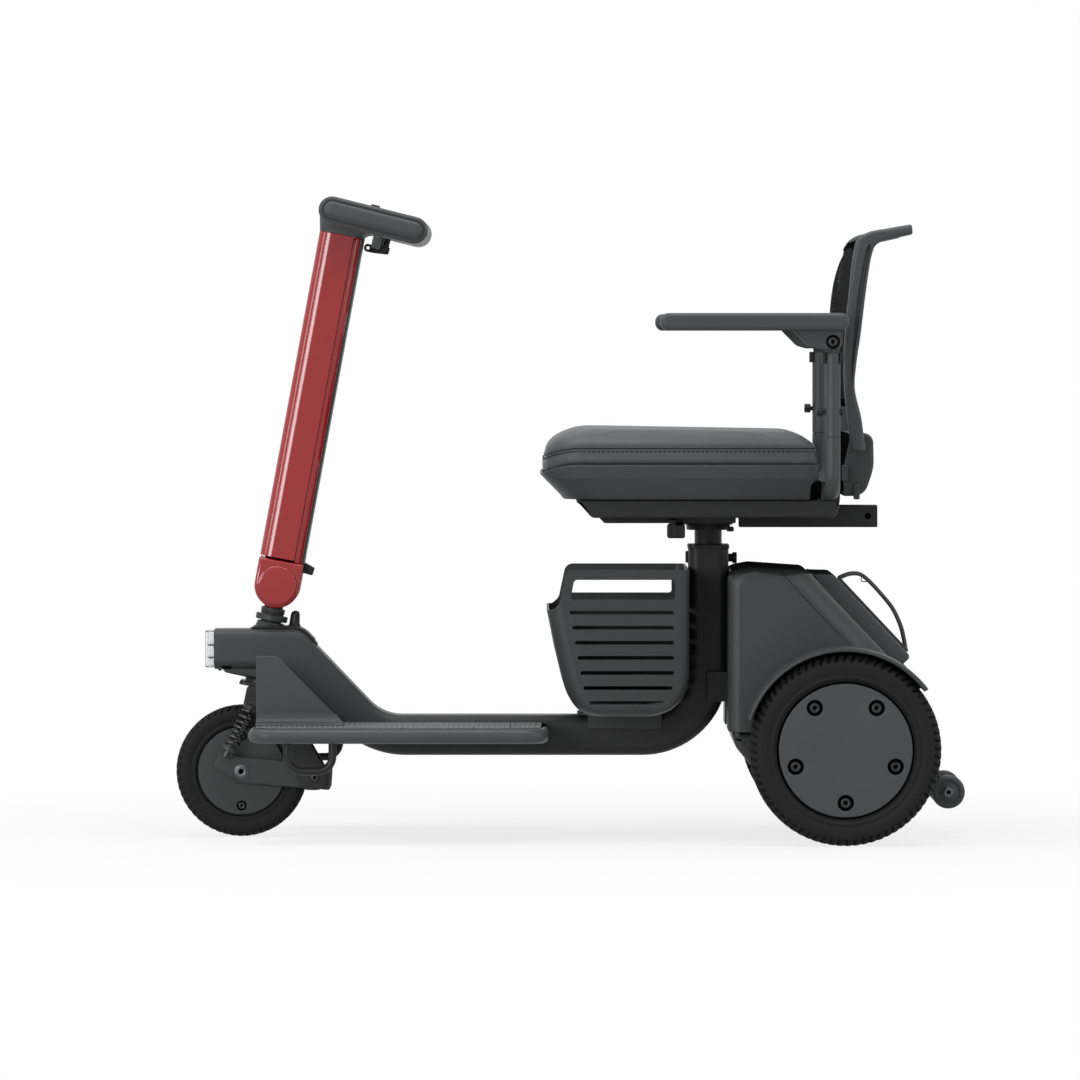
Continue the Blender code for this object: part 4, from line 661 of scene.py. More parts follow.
# Places that several pieces share
hinge = Vector((-0.394, 0, 0.339))
steer = Matrix.Translation(hinge) @ Matrix.Rotation(math.radians(10.5), 4, "Y")
pod = steer @ Matrix.Translation((0.0417, 0, 0.5051)) @ Matrix.Rotation(math.radians(3.5), 4, "Y")
tailSize = dict(x=0.319, z=0.3595, slope=math.radians(46.7))
tail = Matrix.Translation((tailSize["x"], 0, tailSize["z"])) @ Matrix.Rotation(tailSize["slope"], 4, "Y")
frontAxle = Vector((-0.4422, 0, 0.0885))
rearAxle = Vector((0.364, 0, 0.127))
linkPivot = Vector((-0.343, 0, 0.0805))
postX = 0.187
beamCheek = 0.0353


# Main beam, head and headlight
beamSize = dict(
    half=0.035, depth=0.054, edge=0.013, slope=math.radians(46.2), nose=-0.4789, shoulder=-0.3626, bend=0.030,
    top=0.280, floor=0.164, tubeTop=0.392, bore=0.0190
)


def makeBeam():
    b = beamSize
    slope = b["slope"]
    half = math.tan(slope / 2)
    miter = b["depth"] * half
    down = Vector((math.cos(slope), -math.sin(slope)))
    landing = Vector((b["shoulder"] + (b["top"] - b["floor"]) / math.tan(slope), b["floor"]))

    def side(z, shoulder, shoulderR, foot, footR, floor, riseR, riseX):
        # One edge of the beam from the headlight to the top of the seat tube
        start = Vector((b["nose"], z))
        bend = Vector((shoulder - shoulderR * half, z))
        line = [start.lerp(bend, t) for t in (0, 0.1, 0.3, 0.55, 0.8)]
        turn = 90 - math.degrees(slope)
        line += arcPath((bend.x, z - shoulderR), shoulderR, 90, turn, 12)
        low = foot - down * footR * half
        line += [line[-1].lerp(low, t) for t in (0.2, 0.4, 0.6, 0.8)]
        line += arcPath((foot.x + footR * half, floor + footR), footR, 180 + turn, 270, 14)
        line += [line[-1].lerp(Vector((riseX - riseR, floor)), t) for t in (0.2, 0.4, 0.6, 0.8)]
        line += arcPath((riseX - riseR, floor + riseR), riseR, 270, 360, 20)
        top = Vector((riseX, b["tubeTop"]))
        return line + [line[-1].lerp(top, t) for t in (0.3, 0.6, 0.95, 1.0)]

    above = side(b["top"], b["shoulder"], b["bend"], landing, 0.060, b["floor"], 0.062, 0.160)
    below = side(
        0.226, b["shoulder"] - miter, 0.040, landing - Vector((miter, b["depth"])), 0.125, 0.110, 0.116, 0.214
    )
    beam = ribbon("mainBeam", above, below, -b["half"], b["half"], b["edge"], cap=0.0012)
    cutAway(beam, bar("postBore", (postX, 0, 0.34), (postX, 0, 0.41), b["bore"], around=48))
    # The beam takes the frame's painted light and shade run
    piece(beam, "chassis", "painted_steel", "frameShadeRun", "main_frame")
    ring = rounded((0.1590, -0.0360), (0.2150, 0.0360), 0.011)
    mouth = circle((postX, 0), b["bore"], 60)
    collar = plateOf("tubeCollar", ring, 0.3880, 0.3942, 0.0016, holes=[mouth], flat=True)
    piece(collar, "chassis", "painted_steel", "satinPaint")
    tab = block("tubeTab", (0.1563, -0.012, 0.3690), (0.1606, 0.012, 0.3845), 0.0012)
    piece(tab, "chassis", "painted_steel", "blackPlastic")
    wedge = roundPath([
        (-0.4695, 0.2285, 0.002), (-0.4640, 0.2215, 0.006), (-0.4320, 0.2146, 0.004), (-0.3700, 0.2100, 0.004),
        (-0.3700, 0.2285, 0.001)
    ])
    under = plateOf("headWedge", wedge, -0.029, 0.029, 0.003)
    piece(under, "chassis", "plastic", "headPlastic")
    # Dark slots on the head's sides: painted shade in the vents
    slot = rounded((-0.4685, 0.2266), (-0.4557, 0.2314), 0.0022)
    vents = [sidePlate("headVent", side, slot, (0.020, 0.0322), 0.0004) for side in sides]
    piece(gather("headVents", *vents), "chassis", "plastic", "recessBlack")
    button = bar("headPlug", (-0.4715, -0.018, 0.2262), (-0.4715, 0.018, 0.2262), 0.0028, 0.0008)
    piece(button, "chassis", "plastic", "blackPlastic")


capSize = dict(thick=0.004, half=0.024)


def makeHeadCap():
    lift = 0.2801
    slope = beamSize["slope"]
    flatEnd = beamSize["shoulder"] - beamSize["bend"] * math.tan(slope / 2)
    centre = (flatEnd, 0.250)
    over = arcPath(centre, beamSize["bend"] + capSize["thick"], 90, 90 - math.degrees(slope), 10)
    under = arcPath(centre, 0.0298, 90, 90 - math.degrees(slope), 10)
    run = Vector((math.cos(slope), -math.sin(slope)))
    outline = [
        Vector((-0.4290, lift)), *under, under[-1] + run * 0.013, over[-1] + run * 0.011, *over[::-1],
        Vector((-0.4265, lift + capSize["thick"]))
    ]
    shell = plateOf("capShell", outline, -capSize["half"], capSize["half"], 0.0014)
    tip = plateOf("capTip", [
        under[-1], under[-1] + run * 0.019, under[-1] + run * 0.018 + Vector((0.0016, 0.0016)), over[-1]
    ], -0.020, 0.020, 0.0004)
    rings = []
    for t, grow in ((0.0, 0.0035), (0.12, 0.0014), (0.25, 0.0004), (0.5, 0), (0.75, -0.0003), (0.88, -0.0012),
                    (0.95, -0.0026), (0.985, -0.0042), (1.0, -0.0056)):
        x = flatEnd + 0.0035 + 0.0020 * t
        ring = [(
            x + (0.0066 + grow) * math.cos(a), (0.0075 + grow) * math.sin(a), lift + 0.0015 + 0.0225 * t
        ) for a in [2 * math.pi * k / 40 for k in range(40)]]
        rings.append(ring)
    peg = lofted("capPeg", rings)
    skirt = lathed("capSkirt", [
        (0.0148, -0.0505), (0.0176, -0.0508), (0.0184, -0.0518), (0.0192, -0.0562), (0.0202, -0.0592),
        (0.0225, -0.0617), (0.0262, -0.0627), (0.0262, -0.0700), (0.0148, -0.0700)
    ], steer, 72)
    piece(gather("headCap", shell, tip, peg), "chassis", "black_plastic", "blackPlastic", "head_cap")
    piece(skirt, "chassis", "black_plastic", "headPlastic")


lensSize = dict(front=-0.4909, back=-0.4792, low=0.2285, high=0.2782, half=0.033, ribs=(0.2417, 0.2585))


def makeHeadlight():
    s = lensSize
    outer = roundPath([
        (s["front"], -s["half"], 0.006), (s["back"], -s["half"], 0.0024), (s["back"], s["half"], 0.0024),
        (s["front"], s["half"], 0.006)
    ])
    inner = roundPath([
        (s["front"] + 0.0018, 0.0018 - s["half"], 0.0045), (s["back"] + 0.003, 0.0018 - s["half"], 0.0012),
        (s["back"] + 0.003, s["half"] - 0.0018, 0.0012), (s["front"] + 0.0018, s["half"] - 0.0018, 0.0045)
    ])
    lens = plateOf("lampLens", outer, s["low"], s["high"], 0.0016, flat=True)
    cutAway(lens, plateOf("lampHollow", inner, s["low"] + 0.0018, s["high"] - 0.0018, 0.0006, flat=True))
    piece(lens, "chassis", "clear", "clearLens", "headlight_lens")
    turn = Matrix.Rotation(math.pi / 2, 4, "Z")
    shelves = [s["low"] + 0.0014, *s["ribs"], s["high"] - 0.0014]
    modules = []
    lights = []
    for low, high in zip(shelves, shelves[1:]):
        low, high = low + 0.0011, high - 0.0011
        middle = (low + high) / 2
        spots = [(y, middle) for y in (-0.0205, 0, 0.0205)]
        wells = [circle(spot, (high - low) * 0.42, 40) for spot in spots]
        outline = rounded((-0.0306, low), (0.0306, high), 0.001)
        modules.append(plateOf(
            "lampModule", outline, -s["back"] + 0.0004, -s["back"] + 0.0062, 0.0004, turn, holes=wells
        ))
        for y, z in spots:
            base = Matrix.Translation((s["back"], y, z)) @ Matrix.Rotation(-math.pi / 2, 4, "Y")
            lights.append(lathed("lampDome", [
                (0.0036, 0), (0.0035, 0.0016), (0.0028, 0.0030), (0.0016, 0.0038), (0, 0.0041)
            ], base, 28, closed=False))
    piece(gather("lampModules", *modules, *lights), "chassis", "plastic", "lampWhite")
    back = block(
        "lampBack", (s["back"] - 0.0010, -0.0305, s["low"] + 0.0022),
        (s["back"] + 0.0004, 0.0305, s["high"] - 0.0022), 0.0004
    )
    piece(back, "chassis", "steel", "mirrorSteel", "headlight_reflector")
    ribs = [block(
        "lampRib", (s["back"] - 0.0074, -0.0308, z - 0.0008), (s["back"], 0.0308, z + 0.0008), 0.0003
    ) for z in s["ribs"]]
    piece(gather("lampRibs", *ribs), "chassis", "black_plastic", "blackPlastic")


# Foot deck, toe guards and tie-down loops
deckSize = dict(half=0.2125, front=-0.4276, rear=-0.0288, low=0.134, high=0.1535, notchX=-0.325, notchY=0.105)
matSize = dict(inset=0.0092, high=0.1550, pitch=0.0068, dot=0.0017, rise=0.0008)


def makeDeck(side):
    word = sides[side]
    d = deckSize

    def rim(inset):
        corners = [
            (d["front"] + inset, d["notchY"] + inset, 0.012), (d["front"] + inset, d["half"] - inset, 0.030),
            (d["rear"] - inset, d["half"] - inset, 0.030), (d["rear"] - inset, beamCheek + inset * 0.3, 0.002),
            (d["notchX"] + inset, beamCheek + inset * 0.3, 0.002),
            (d["notchX"] + inset, d["notchY"] + inset, 0.020)
        ]
        return roundPath([(x, side * y, r) for x, y, r in corners], 5)

    tray = plateOf("deckTray." + word, rim(0), d["low"], d["high"], 0.0086, flat=True, steps=6)
    piece(tray, "chassis", "plastic", "wheelPlastic", "deck_" + word)
    # Painted shade in the groove between the mat and the rail
    groove = plateOf(
        "deckGroove." + word, rim(0.0084), d["high"] - 0.003, d["high"] + 0.0003, 0.0002, flat=True
    )
    piece(groove, "chassis", "plastic", "recessBlack")
    mat = plateOf(
        "deckMat." + word, rim(matSize["inset"]), d["high"] - 0.002, matSize["high"], 0.0007, flat=True
    )
    piece(mat, "chassis", "rubber", "deckRubber")
    shape = bmesh.new()
    pitch = matSize["pitch"]
    turns = [math.pi * k / 4 for k in range(8)]
    for i in range(int(0.40 / pitch)):
        for j in range(int(0.18 / pitch)):
            x = d["front"] + 0.020 + i * pitch
            y = 0.046 + j * pitch + (i % 2) * pitch / 2
            onNose = y > d["notchY"] + 0.016
            if x > d["rear"] - 0.018 or y > d["half"] - 0.016 or (x < d["notchX"] + 0.016 and not onNose):
                continue
            if x < -0.300 and y < 0.137:
                continue
            rows = []
            for share, z in ((1.0, matSize["high"] - 0.0002), (0.7, matSize["high"] + matSize["rise"] * 0.7)):
                r = matSize["dot"] * share
                rows.append([shape.verts.new((
                    x + r * math.cos(a), side * y + r * math.sin(a), z
                )) for a in turns])
            low, mid = rows
            for k in range(8):
                shape.faces.new((low[k - 1], low[k], mid[k], mid[k - 1]))
            peak = shape.verts.new((x, side * y, matSize["high"] + matSize["rise"]))
            for k in range(8):
                shape.faces.new((mid[k - 1], mid[k], peak))
    piece(shaped("deckDots." + word, shape, smooth=70), "chassis", "rubber", "dotRubber")
    seams = [sideBlock(
        "deckSeam", side, (x - 0.0005, x + 0.0005), (0.046, 0.204), (0.1548, 0.15525), 0.0001
    ) for x in (-0.2236, -0.1287, -0.0797)]
    piece(gather("deckSeams." + word, *seams), "chassis", "rubber", "recessBlack")

    foot = 0.1556
    wall = roundPath([
        (-0.4192, foot, 0.001), (-0.4192, 0.2473, 0.003), (-0.3912, 0.2473, 0.012), (-0.3128, 0.1670, 0.012),
        (-0.3030, foot + 0.004, 0.002), (-0.3030, foot, 0.001)
    ])
    upright = sidePlate("toeWall", side, wall, (0.1165, 0.1207), 0.0011)
    bend = [(0.1185, foot + 0.0145)] + [(p.x, p.y) for p in arcPath(
        (0.1325, foot + 0.0140), 0.0118, 180, 270, 10
    )]
    bend += [(0.1470, foot + 0.0018), (0.1484, foot + 0.0004), (0.1185, foot - 0.0004)]
    rows = []
    for x, lean, share in ((-0.4192, 0, 0.94), (-0.4186, 0, 1), (-0.3080, 0.65, 1), (-0.3020, 0.65, 0.94)):
        rows.append([(x - (z - foot) * lean, side * y, foot + (z - foot) * share) for y, z in bend])
    fillet = lofted("toeFillet", rows)
    piece(
        gather("toeGuard." + word, upright, fillet), "chassis", "plastic", "mouldedPlastic", "toe_guard_" + word
    )

    path = roundPath([
        (-0.3758, 0.0968, 0.020), (-0.3155, 0.0968, 0.020), (-0.3155, 0.138, 0), (-0.3758, 0.138, 0)
    ])
    path = path[-1:] + path[:-1]
    loop = piped("tieLoop." + word, [(p.x, side * 0.19, p.y) for p in path], 0.0054, 20)
    piece(loop, "chassis", "painted_steel", "satinPaint", "guard_loop_" + word)


# Steering stem, fork, sprung arm and front wheel
forkSize = dict(leg=(0.0340, 0.0400), arm=(0.0265, 0.0330), springY=0.0515, coil=0.0083, wire=0.0019, turns=6.5)


def makeFork():
    boot = lathed("stemBoot", [
        (0.0135, -0.0318), (0.0154, -0.0318), (0.0162, -0.0326), (0.0162, -0.0384), (0.0156, -0.0392),
        (0.0150, -0.0396), (0.0150, -0.0406), (0.0206, -0.0408), (0.0216, -0.0418), (0.0216, -0.0480),
        (0.0206, -0.0490), (0.0160, -0.0493), (0.0135, -0.0495)
    ], steer, 72)
    piece(boot, "steering", "rubber", "headPlastic", "stem_boot")
    knuckle = bar("stemKnuckle", (0, -0.0232, 0), (0, 0.0232, 0), 0.0262, 0.0016, 64, steer)
    neck = bar("stemNeck", (0, 0, -0.0348), (0, 0, -0.014), 0.0128, 0.0006, 40, steer)
    frame["nodes"]["steering_stem"].data.materials[0] = finishes["satinPaint"]
    piece(gather("hingeKnuckle", knuckle, neck), "steering", "black_plastic", "blackPlastic", "hinge_knuckle")

    crownPath = roundPath([
        (-0.0262, -0.040, 0.010), (0.030, -0.040, 0.006), (0.030, 0.040, 0.006), (-0.0262, 0.040, 0.010)
    ])
    crown = plateOf("forkCrown", crownPath, -0.1398, -0.1352, 0.0008, steer, flat=True)
    boss = lathed("forkBoss", [
        (0.0141, -0.1360), (0.0205, -0.1360), (0.0200, -0.1300), (0.0188, -0.1290), (0.0141, -0.1290)
    ], steer, 48)
    legPath = roundPath([
        (-0.4343, 0.2030, 0.003), (-0.4397, 0.1780, 0.006), (-0.4050, 0.1500, 0.020), (-0.3876, 0.1247, 0.030),
        (-0.3600, 0.0635, 0.014), (-0.3260, 0.0635, 0.014), (-0.3280, 0.0875, 0.008), (-0.3493, 0.1247, 0.020),
        (-0.3880, 0.2030, 0.003)
    ], 5)
    members = [crown, boss]
    bolts = []
    shadeDiscs = []
    top = Vector((-0.4300, 0, 0.1715))
    foot = Vector((-0.4564, 0, 0.1225))
    along = (top - foot).normalized()
    turn = along.to_track_quat("Z", "Y").to_matrix().to_4x4()
    for side in sides:
        members.append(sidePlate("forkLeg", side, legPath, forkSize["leg"], 0.0012))
        shelf = Matrix.Translation(top + Vector((0, side * forkSize["springY"], 0))) @ turn
        members.append(lathed("springSeat", [
            (0.0040, -0.0030), (0.0062, -0.0030), (0.0062, 0), (0.0098, 0), (0.0104, 0.0008), (0.0104, 0.0052),
            (0.0096, 0.0060), (0.0040, 0.0060)
        ], shelf, 40))
        members.append(sideBlock(
            "springLug", side, (-0.4330, -0.4180), (0.0350, 0.0520), (0.1748, 0.1835), 0.0012
        ))
        seat = outward(linkPivot.x, side * forkSize["leg"][1], linkPivot.z, side)
        bolts.append(socketBolt("linkBolt", seat, 0.0052, 0.0028, 0.0024, shadeDiscs))
    piece(gather("frontFork", *members), "steering", "painted_steel", "satinPaint", "fork")
    piece(gather("linkBolts", *bolts), "steering", "steel", "darkBolt")
    # Painted shade in the bolt sockets
    piece(gather("linkSockets", *shadeDiscs), "steering", "steel", "recessBlack")

    armPath = roundPath([
        (-0.4805, 0.0951, 0.005), (-0.4722, 0.1110, 0.006), (-0.4530, 0.1165, 0.004), (-0.4505, 0.1086, 0.004),
        (-0.3834, 0.1020, 0.030), (-0.3205, 0.0935, 0.004), (-0.3225, 0.0630, 0.004), (-0.4422, 0.0732, 0.030),
        (-0.4629, 0.0836, 0.020)
    ], 5)
    axleShadeDiscs = []
    axleBits = [bar("axleRod", frontAxle - Vector((0, 0.034, 0)), frontAxle + Vector((0, 0.034, 0)), 0.005)]
    for side, word in sides.items():
        arm = sidePlate("armPlate", side, armPath, forkSize["arm"], 0.0012)
        out = Vector((0, side * forkSize["springY"], 0))
        cup = Matrix.Translation(foot + out) @ turn
        seat = lathed("armCup", [
            (0.0035, 0.0030), (0.0060, 0.0030), (0.0060, 0), (0.0098, 0), (0.0104, -0.0008), (0.0104, -0.0052),
            (0.0096, -0.0060), (0.0035, -0.0060)
        ], cup, 40)
        lug = sideBlock("armLug", side, (-0.4655, -0.4535), (0.0275, 0.0515), (0.1095, 0.1176), 0.0012)
        piece(
            gather("linkArm." + word, arm, seat, lug), "front_arm", "painted_steel", "headPlastic",
            "arm_" + word
        )
        stud = lathed("springStud", [
            (0, -0.0165), (0.0030, -0.0163), (0.0044, -0.0148), (0.0046, -0.0080), (0.0046, -0.0058),
            (0, -0.0058)
        ], cup, 24, closed=False)
        piece(stud, "front_arm", "steel", "darkBolt")
        washer = lathed(
            "axleWasher", [(0.0051, 0), (0.0092, 0), (0.0092, 0.0008), (0.0086, 0.0012), (0.0051, 0.0012)],
            outward(frontAxle.x, side * 0.0330, frontAxle.z, side), 40
        )
        axleBits.append(washer)
        axleBits.append(socketBolt(
            "axleBolt", outward(frontAxle.x, side * 0.0340, frontAxle.z, side), 0.0076, 0.0042, 0.0040,
            axleShadeDiscs
        ))
        axleBits.append(bar(
            "axleSpacer", (frontAxle.x, side * 0.0232, frontAxle.z), (frontAxle.x, side * 0.0263, frontAxle.z),
            0.008
        ))
        coil = []
        low = foot + out + along * 0.0016
        high = top + out - along * 0.0016
        third = along.cross(Vector((0, 1, 0)))
        count = round(forkSize["turns"] * 40)
        for k in range(count + 1):
            t = k / count
            # The end turns lie close, as a ground spring's do
            climb = t + 0.02 * math.sin(2 * math.pi * t)
            angle = 2 * math.pi * forkSize["turns"] * t
            spoke = Vector((0, math.cos(angle), 0)) + third * math.sin(angle)
            coil.append(low.lerp(high, climb) + forkSize["coil"] * spoke)
        spring = piped("coilSpring." + word, coil, forkSize["wire"], 12)
        spring.data.materials.append(finishes["springSteel"])
        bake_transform(spring)
        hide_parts("spring_" + word)
    piece(gather("wheelAxle", *axleBits), "front_arm", "steel", "zincSteel", "front_axle")
    # Painted shade in the bolt sockets
    piece(gather("axleSockets", *axleShadeDiscs), "front_arm", "steel", "recessBlack")


frontTyre = dict(radius=0.0885, half=0.0225, rim=0.0612, notches=54, notchDeep=0.0026)
rearTyre = dict(radius=0.127, half=0.031, rim=0.0942, notches=72, notchDeep=0.0036)


def makeTyre(name, t, shoulder, base):
    r, half, rim = t["radius"], t["half"], t["rim"]
    quarter = [
        (rim - 0.003, half - 0.0060), (rim, half - 0.0040), (rim + 0.0008, half - 0.0016),
        (rim + 0.0022, half - 0.0006), (rim + 0.0045, half - 0.0003), (rim + 0.0055, half - 0.0010),
        (rim + 0.0070, half - 0.0010), (rim + 0.0080, half - 0.0002)
    ]
    first = len(quarter)
    quarter += [(p.x, p.y) for p in arcPath((r - shoulder, half - shoulder), shoulder, 90, 6, 12)]
    quarter += [(r, half - shoulder * 1.05), (r, half * 0.18), (r - 0.0024, half * 0.12)]
    profile = mirrored(quarter)
    count = len(profile)

    def relief(turn, i, a, b):
        # Slanted notches bite into the shoulder and run over on to the tread
        k = min(i, count - 1 - i)
        sign = 1 if i < count / 2 else -1
        at = k - first
        phase = (turn / (2 * math.pi) * t["notches"] * sign + at * 0.055) % 1.0
        if not 4 <= at <= 13 or not 0.30 < phase < 0.68:
            return a, b
        deep = t["notchDeep"] * (0.55 if at == 4 else 1.0)
        away = Vector((a - (r - shoulder), abs(b) - (half - shoulder))).normalized() * deep
        return a - away.x, b - sign * away.y

    return lathed(name, profile, base, t["notches"] * 8, relief=relief, smooth=45)


def boltedDisc(name, radius, low, high, spots, well, edge, base):
    # A flat disc with round wells through it, standing out from low to high along the axis
    rim = circle((0, 0), radius, 120)
    holes = [circle(spot, well, 40) for spot in spots]
    return plateOf(name, rim, low, high, edge, base, holes=holes, flat=True, steps=3)


def ringSpots(radius, count):
    # The first spot is at the bottom of the wheel
    turns = [-math.pi / 2 + 2 * math.pi * k / count for k in range(count)]
    return [(radius * math.cos(t), radius * math.sin(t)) for t in turns]


def makeFrontWheel():
    base = outward(frontAxle.x, 0, frontAxle.z, 1)
    tyre = makeTyre("frontTyre", frontTyre, 0.0115, base)
    piece(tyre, "front_wheel", "rubber", "tyreRubber", "front_tyre")
    core = lathed("hubCore", mirrored([(0.0053, 0.0160), (0.0570, 0.0160), (0.0612, 0.0150)]), base, 96)
    bossHalf = [(0.0053, 0.0226), (0.0150, 0.0226), (0.0166, 0.0219), (0.0180, 0.0200)]
    boss = lathed("hubBoss", mirrored(bossHalf), base, 60)
    faces = []
    bolts = []
    shadeDiscs = []
    for side in sides:
        turn = outward(frontAxle.x, 0, frontAxle.z, side)
        spots = [(x, -side * 0.047 * y) for x, y in ((0, 1), (0, -1))]
        faces.append(boltedDisc("hubFace", 0.0590, 0.0150, 0.0206, spots, 0.0066, 0.0010, turn))
        for x, y in spots:
            seat = turn @ Matrix.Translation((x, y, 0.0160))
            bolts.append(socketBolt("hubBolt", seat, 0.0047, 0.0036, 0.0024, shadeDiscs))
    piece(gather("frontHub", boss, *faces), "front_wheel", "plastic", "headPlastic", "front_hub")
    # A near-black ring between the hub's faces and the tyre: painted shade in the gap
    piece(core, "front_wheel", "plastic", "recessBlack")
    piece(gather("frontBolts", *bolts), "front_wheel", "steel", "darkBolt")
    # Painted shade in the bolt sockets
    piece(gather("frontSockets", *shadeDiscs), "front_wheel", "steel", "recessBlack")


def makeRearWheel(side):
    word = sides[side]
    base = outward(rearAxle.x, side * 0.215, rearAxle.z, side)
    body = "rear_wheel_" + word
    tyre = makeTyre("rearTyre." + word, rearTyre, 0.0160, base)
    piece(tyre, body, "rubber", "tyreRubber", "rear_tyre_" + word)
    # A near-black core whose rim shows as a ring between the disc and the tyre: painted shade in the groove
    core = lathed("hubCore." + word, [
        (0, 0.0218), (0.0890, 0.0218), (0.0922, 0.0205), (0.0925, -0.0230), (0.0875, -0.0230), (0.0835, 0.0120),
        (0.0300, 0.0120), (0.0260, -0.0270), (0.0085, -0.0280), (0.0085, -0.1500), (0, -0.1500)
    ], base, 120, closed=False)
    piece(core, body, "plastic", "recessBlack", "rear_hub_" + word)
    spots = [(x, -side * y) for x, y in ringSpots(0.0695, 5)]
    face = boltedDisc("hubFace." + word, 0.0884, 0.0205, 0.0282, spots, 0.0108, 0.0012, base)
    piece(face, body, "plastic", "wheelPlastic")
    bolts = []
    shadeDiscs = []
    for x, y in spots:
        seat = base @ Matrix.Translation((x, y, 0.0215))
        bolts.append(socketBolt("wheelBolt", seat, 0.0068, 0.0042, 0.0034, shadeDiscs))
    piece(gather("rearBolts." + word, *bolts), body, "steel", "darkBolt")
    # Painted shade in the bolt sockets
    piece(gather("rearSockets." + word, *shadeDiscs), body, "steel", "recessBlack")


# Tiller column, its foot and the handle
columnSize = dict(x=0.0305, y=0.036, corner=0.017, low=0.0345, high=0.4800, seam=0.0171, back=0.0272)


def columnShell(name, start, end, low, high, wall=0.003):
    # The part of the column's section between two depths, as a shell along the tiller
    c = columnSize
    outline = rounded((-c["x"], -c["y"]), (c["x"], c["y"]), c["corner"], 4)
    inside = rounded((wall - c["x"], wall - c["y"]), (c["x"] - wall, c["y"] - wall), c["corner"] - wall, 4)
    shell = plateOf(name, outline, low, high, 0.0006, steer, holes=[inside], flat=True)
    cutters = []
    if start > -c["x"]:
        cutters.append(block("ahead", (-0.10, -0.06, low - 0.02), (start, 0.06, high + 0.02), 0.0002, steer))
    if end < c["x"]:
        cutters.append(block("behind", (end, -0.06, low - 0.02), (0.10, 0.06, high + 0.02), 0.0002, steer))
    return cutAway(shell, *cutters) if cutters else shell


def makeTiller():
    c = columnSize

    def leverWay():
        return block("leverWay", (0.012, -0.0125, 0.010), (0.045, 0.0125, 0.046), 0.001, steer)

    front = columnShell("tillerFront", -0.1, c["seam"] - 0.0004, c["low"] + 0.0022, c["high"])
    rear = columnShell("tillerRear", c["seam"] + 0.0004, c["back"] - 0.0003, c["low"], c["high"])
    piece(gather("tillerShell", front, rear), "tiller", "red_enamel", "redEnamel", "tiller_column")
    spine = columnShell("tillerSpine", c["back"], 0.1, c["low"], c["high"])
    piece(cutAway(spine, leverWay()), "tiller", "plastic", "satinPaint")
    core = block("tillerCore", (-0.0272, -0.0327, 0.031), (0.0272, 0.0327, 0.478), 0.013, steer)
    piece(cutAway(core, leverWay()), "tiller", "plastic", "recessBlack")
    cheeks = []
    caps = []
    for side in sides:
        ring = [Vector((c["x"], 0.0340))] + arcPath((0, 0), c["x"], 0, -180, 40) + [Vector((-c["x"], 0.0340))]
        cheeks.append(sidePlate("tillerCheek", side, ring, (0.0245, 0.0362), 0.0044, steer, steps=6))
        base = steer @ outward(0, side * 0.0355, 0, side)
        caps.append(lathed("cheekCap", [
            (0, 0), (0.0264, 0), (0.0264, 0.0018), (0.0261, 0.0027), (0.0251, 0.0036), (0.0238, 0.0040),
            (0.0120, 0.0043), (0, 0.0044)
        ], base, 96, closed=False))
    web = block("cheekWeb", (-0.0270, -0.030, 0.0290), (0.0130, 0.030, 0.0345), 0.002, steer)
    piece(gather("tillerFoot", *cheeks, web), "tiller", "red_enamel", "redEnamel", "tiller_foot")
    piece(gather("tillerCaps", *caps), "tiller", "red_enamel", "redEnamel")
    lever = plateOf("tiltLever", roundPath([
        (0.0165, 0.0305, 0.003), (0.0165, 0.0385, 0.003), (0.0270, 0.0376, 0.002), (0.0450, 0.0313, 0.002),
        (0.0438, 0.0209, 0.002), (0.0275, 0.0225, 0.003)
    ]), -0.012, 0.012, 0.0012, steer)
    piece(lever, "tilt_lever", "black_plastic", "blackPlastic", "tilt_lever")


handleSize = dict(length=0.148, thick=0.036, half=0.205)


def stadium(length, thick, steps=20):
    reach = (length - thick) / 2
    return arcPath((-reach, 0), thick / 2, 90, 270, steps) + arcPath((reach, 0), thick / 2, -90, 90, steps)


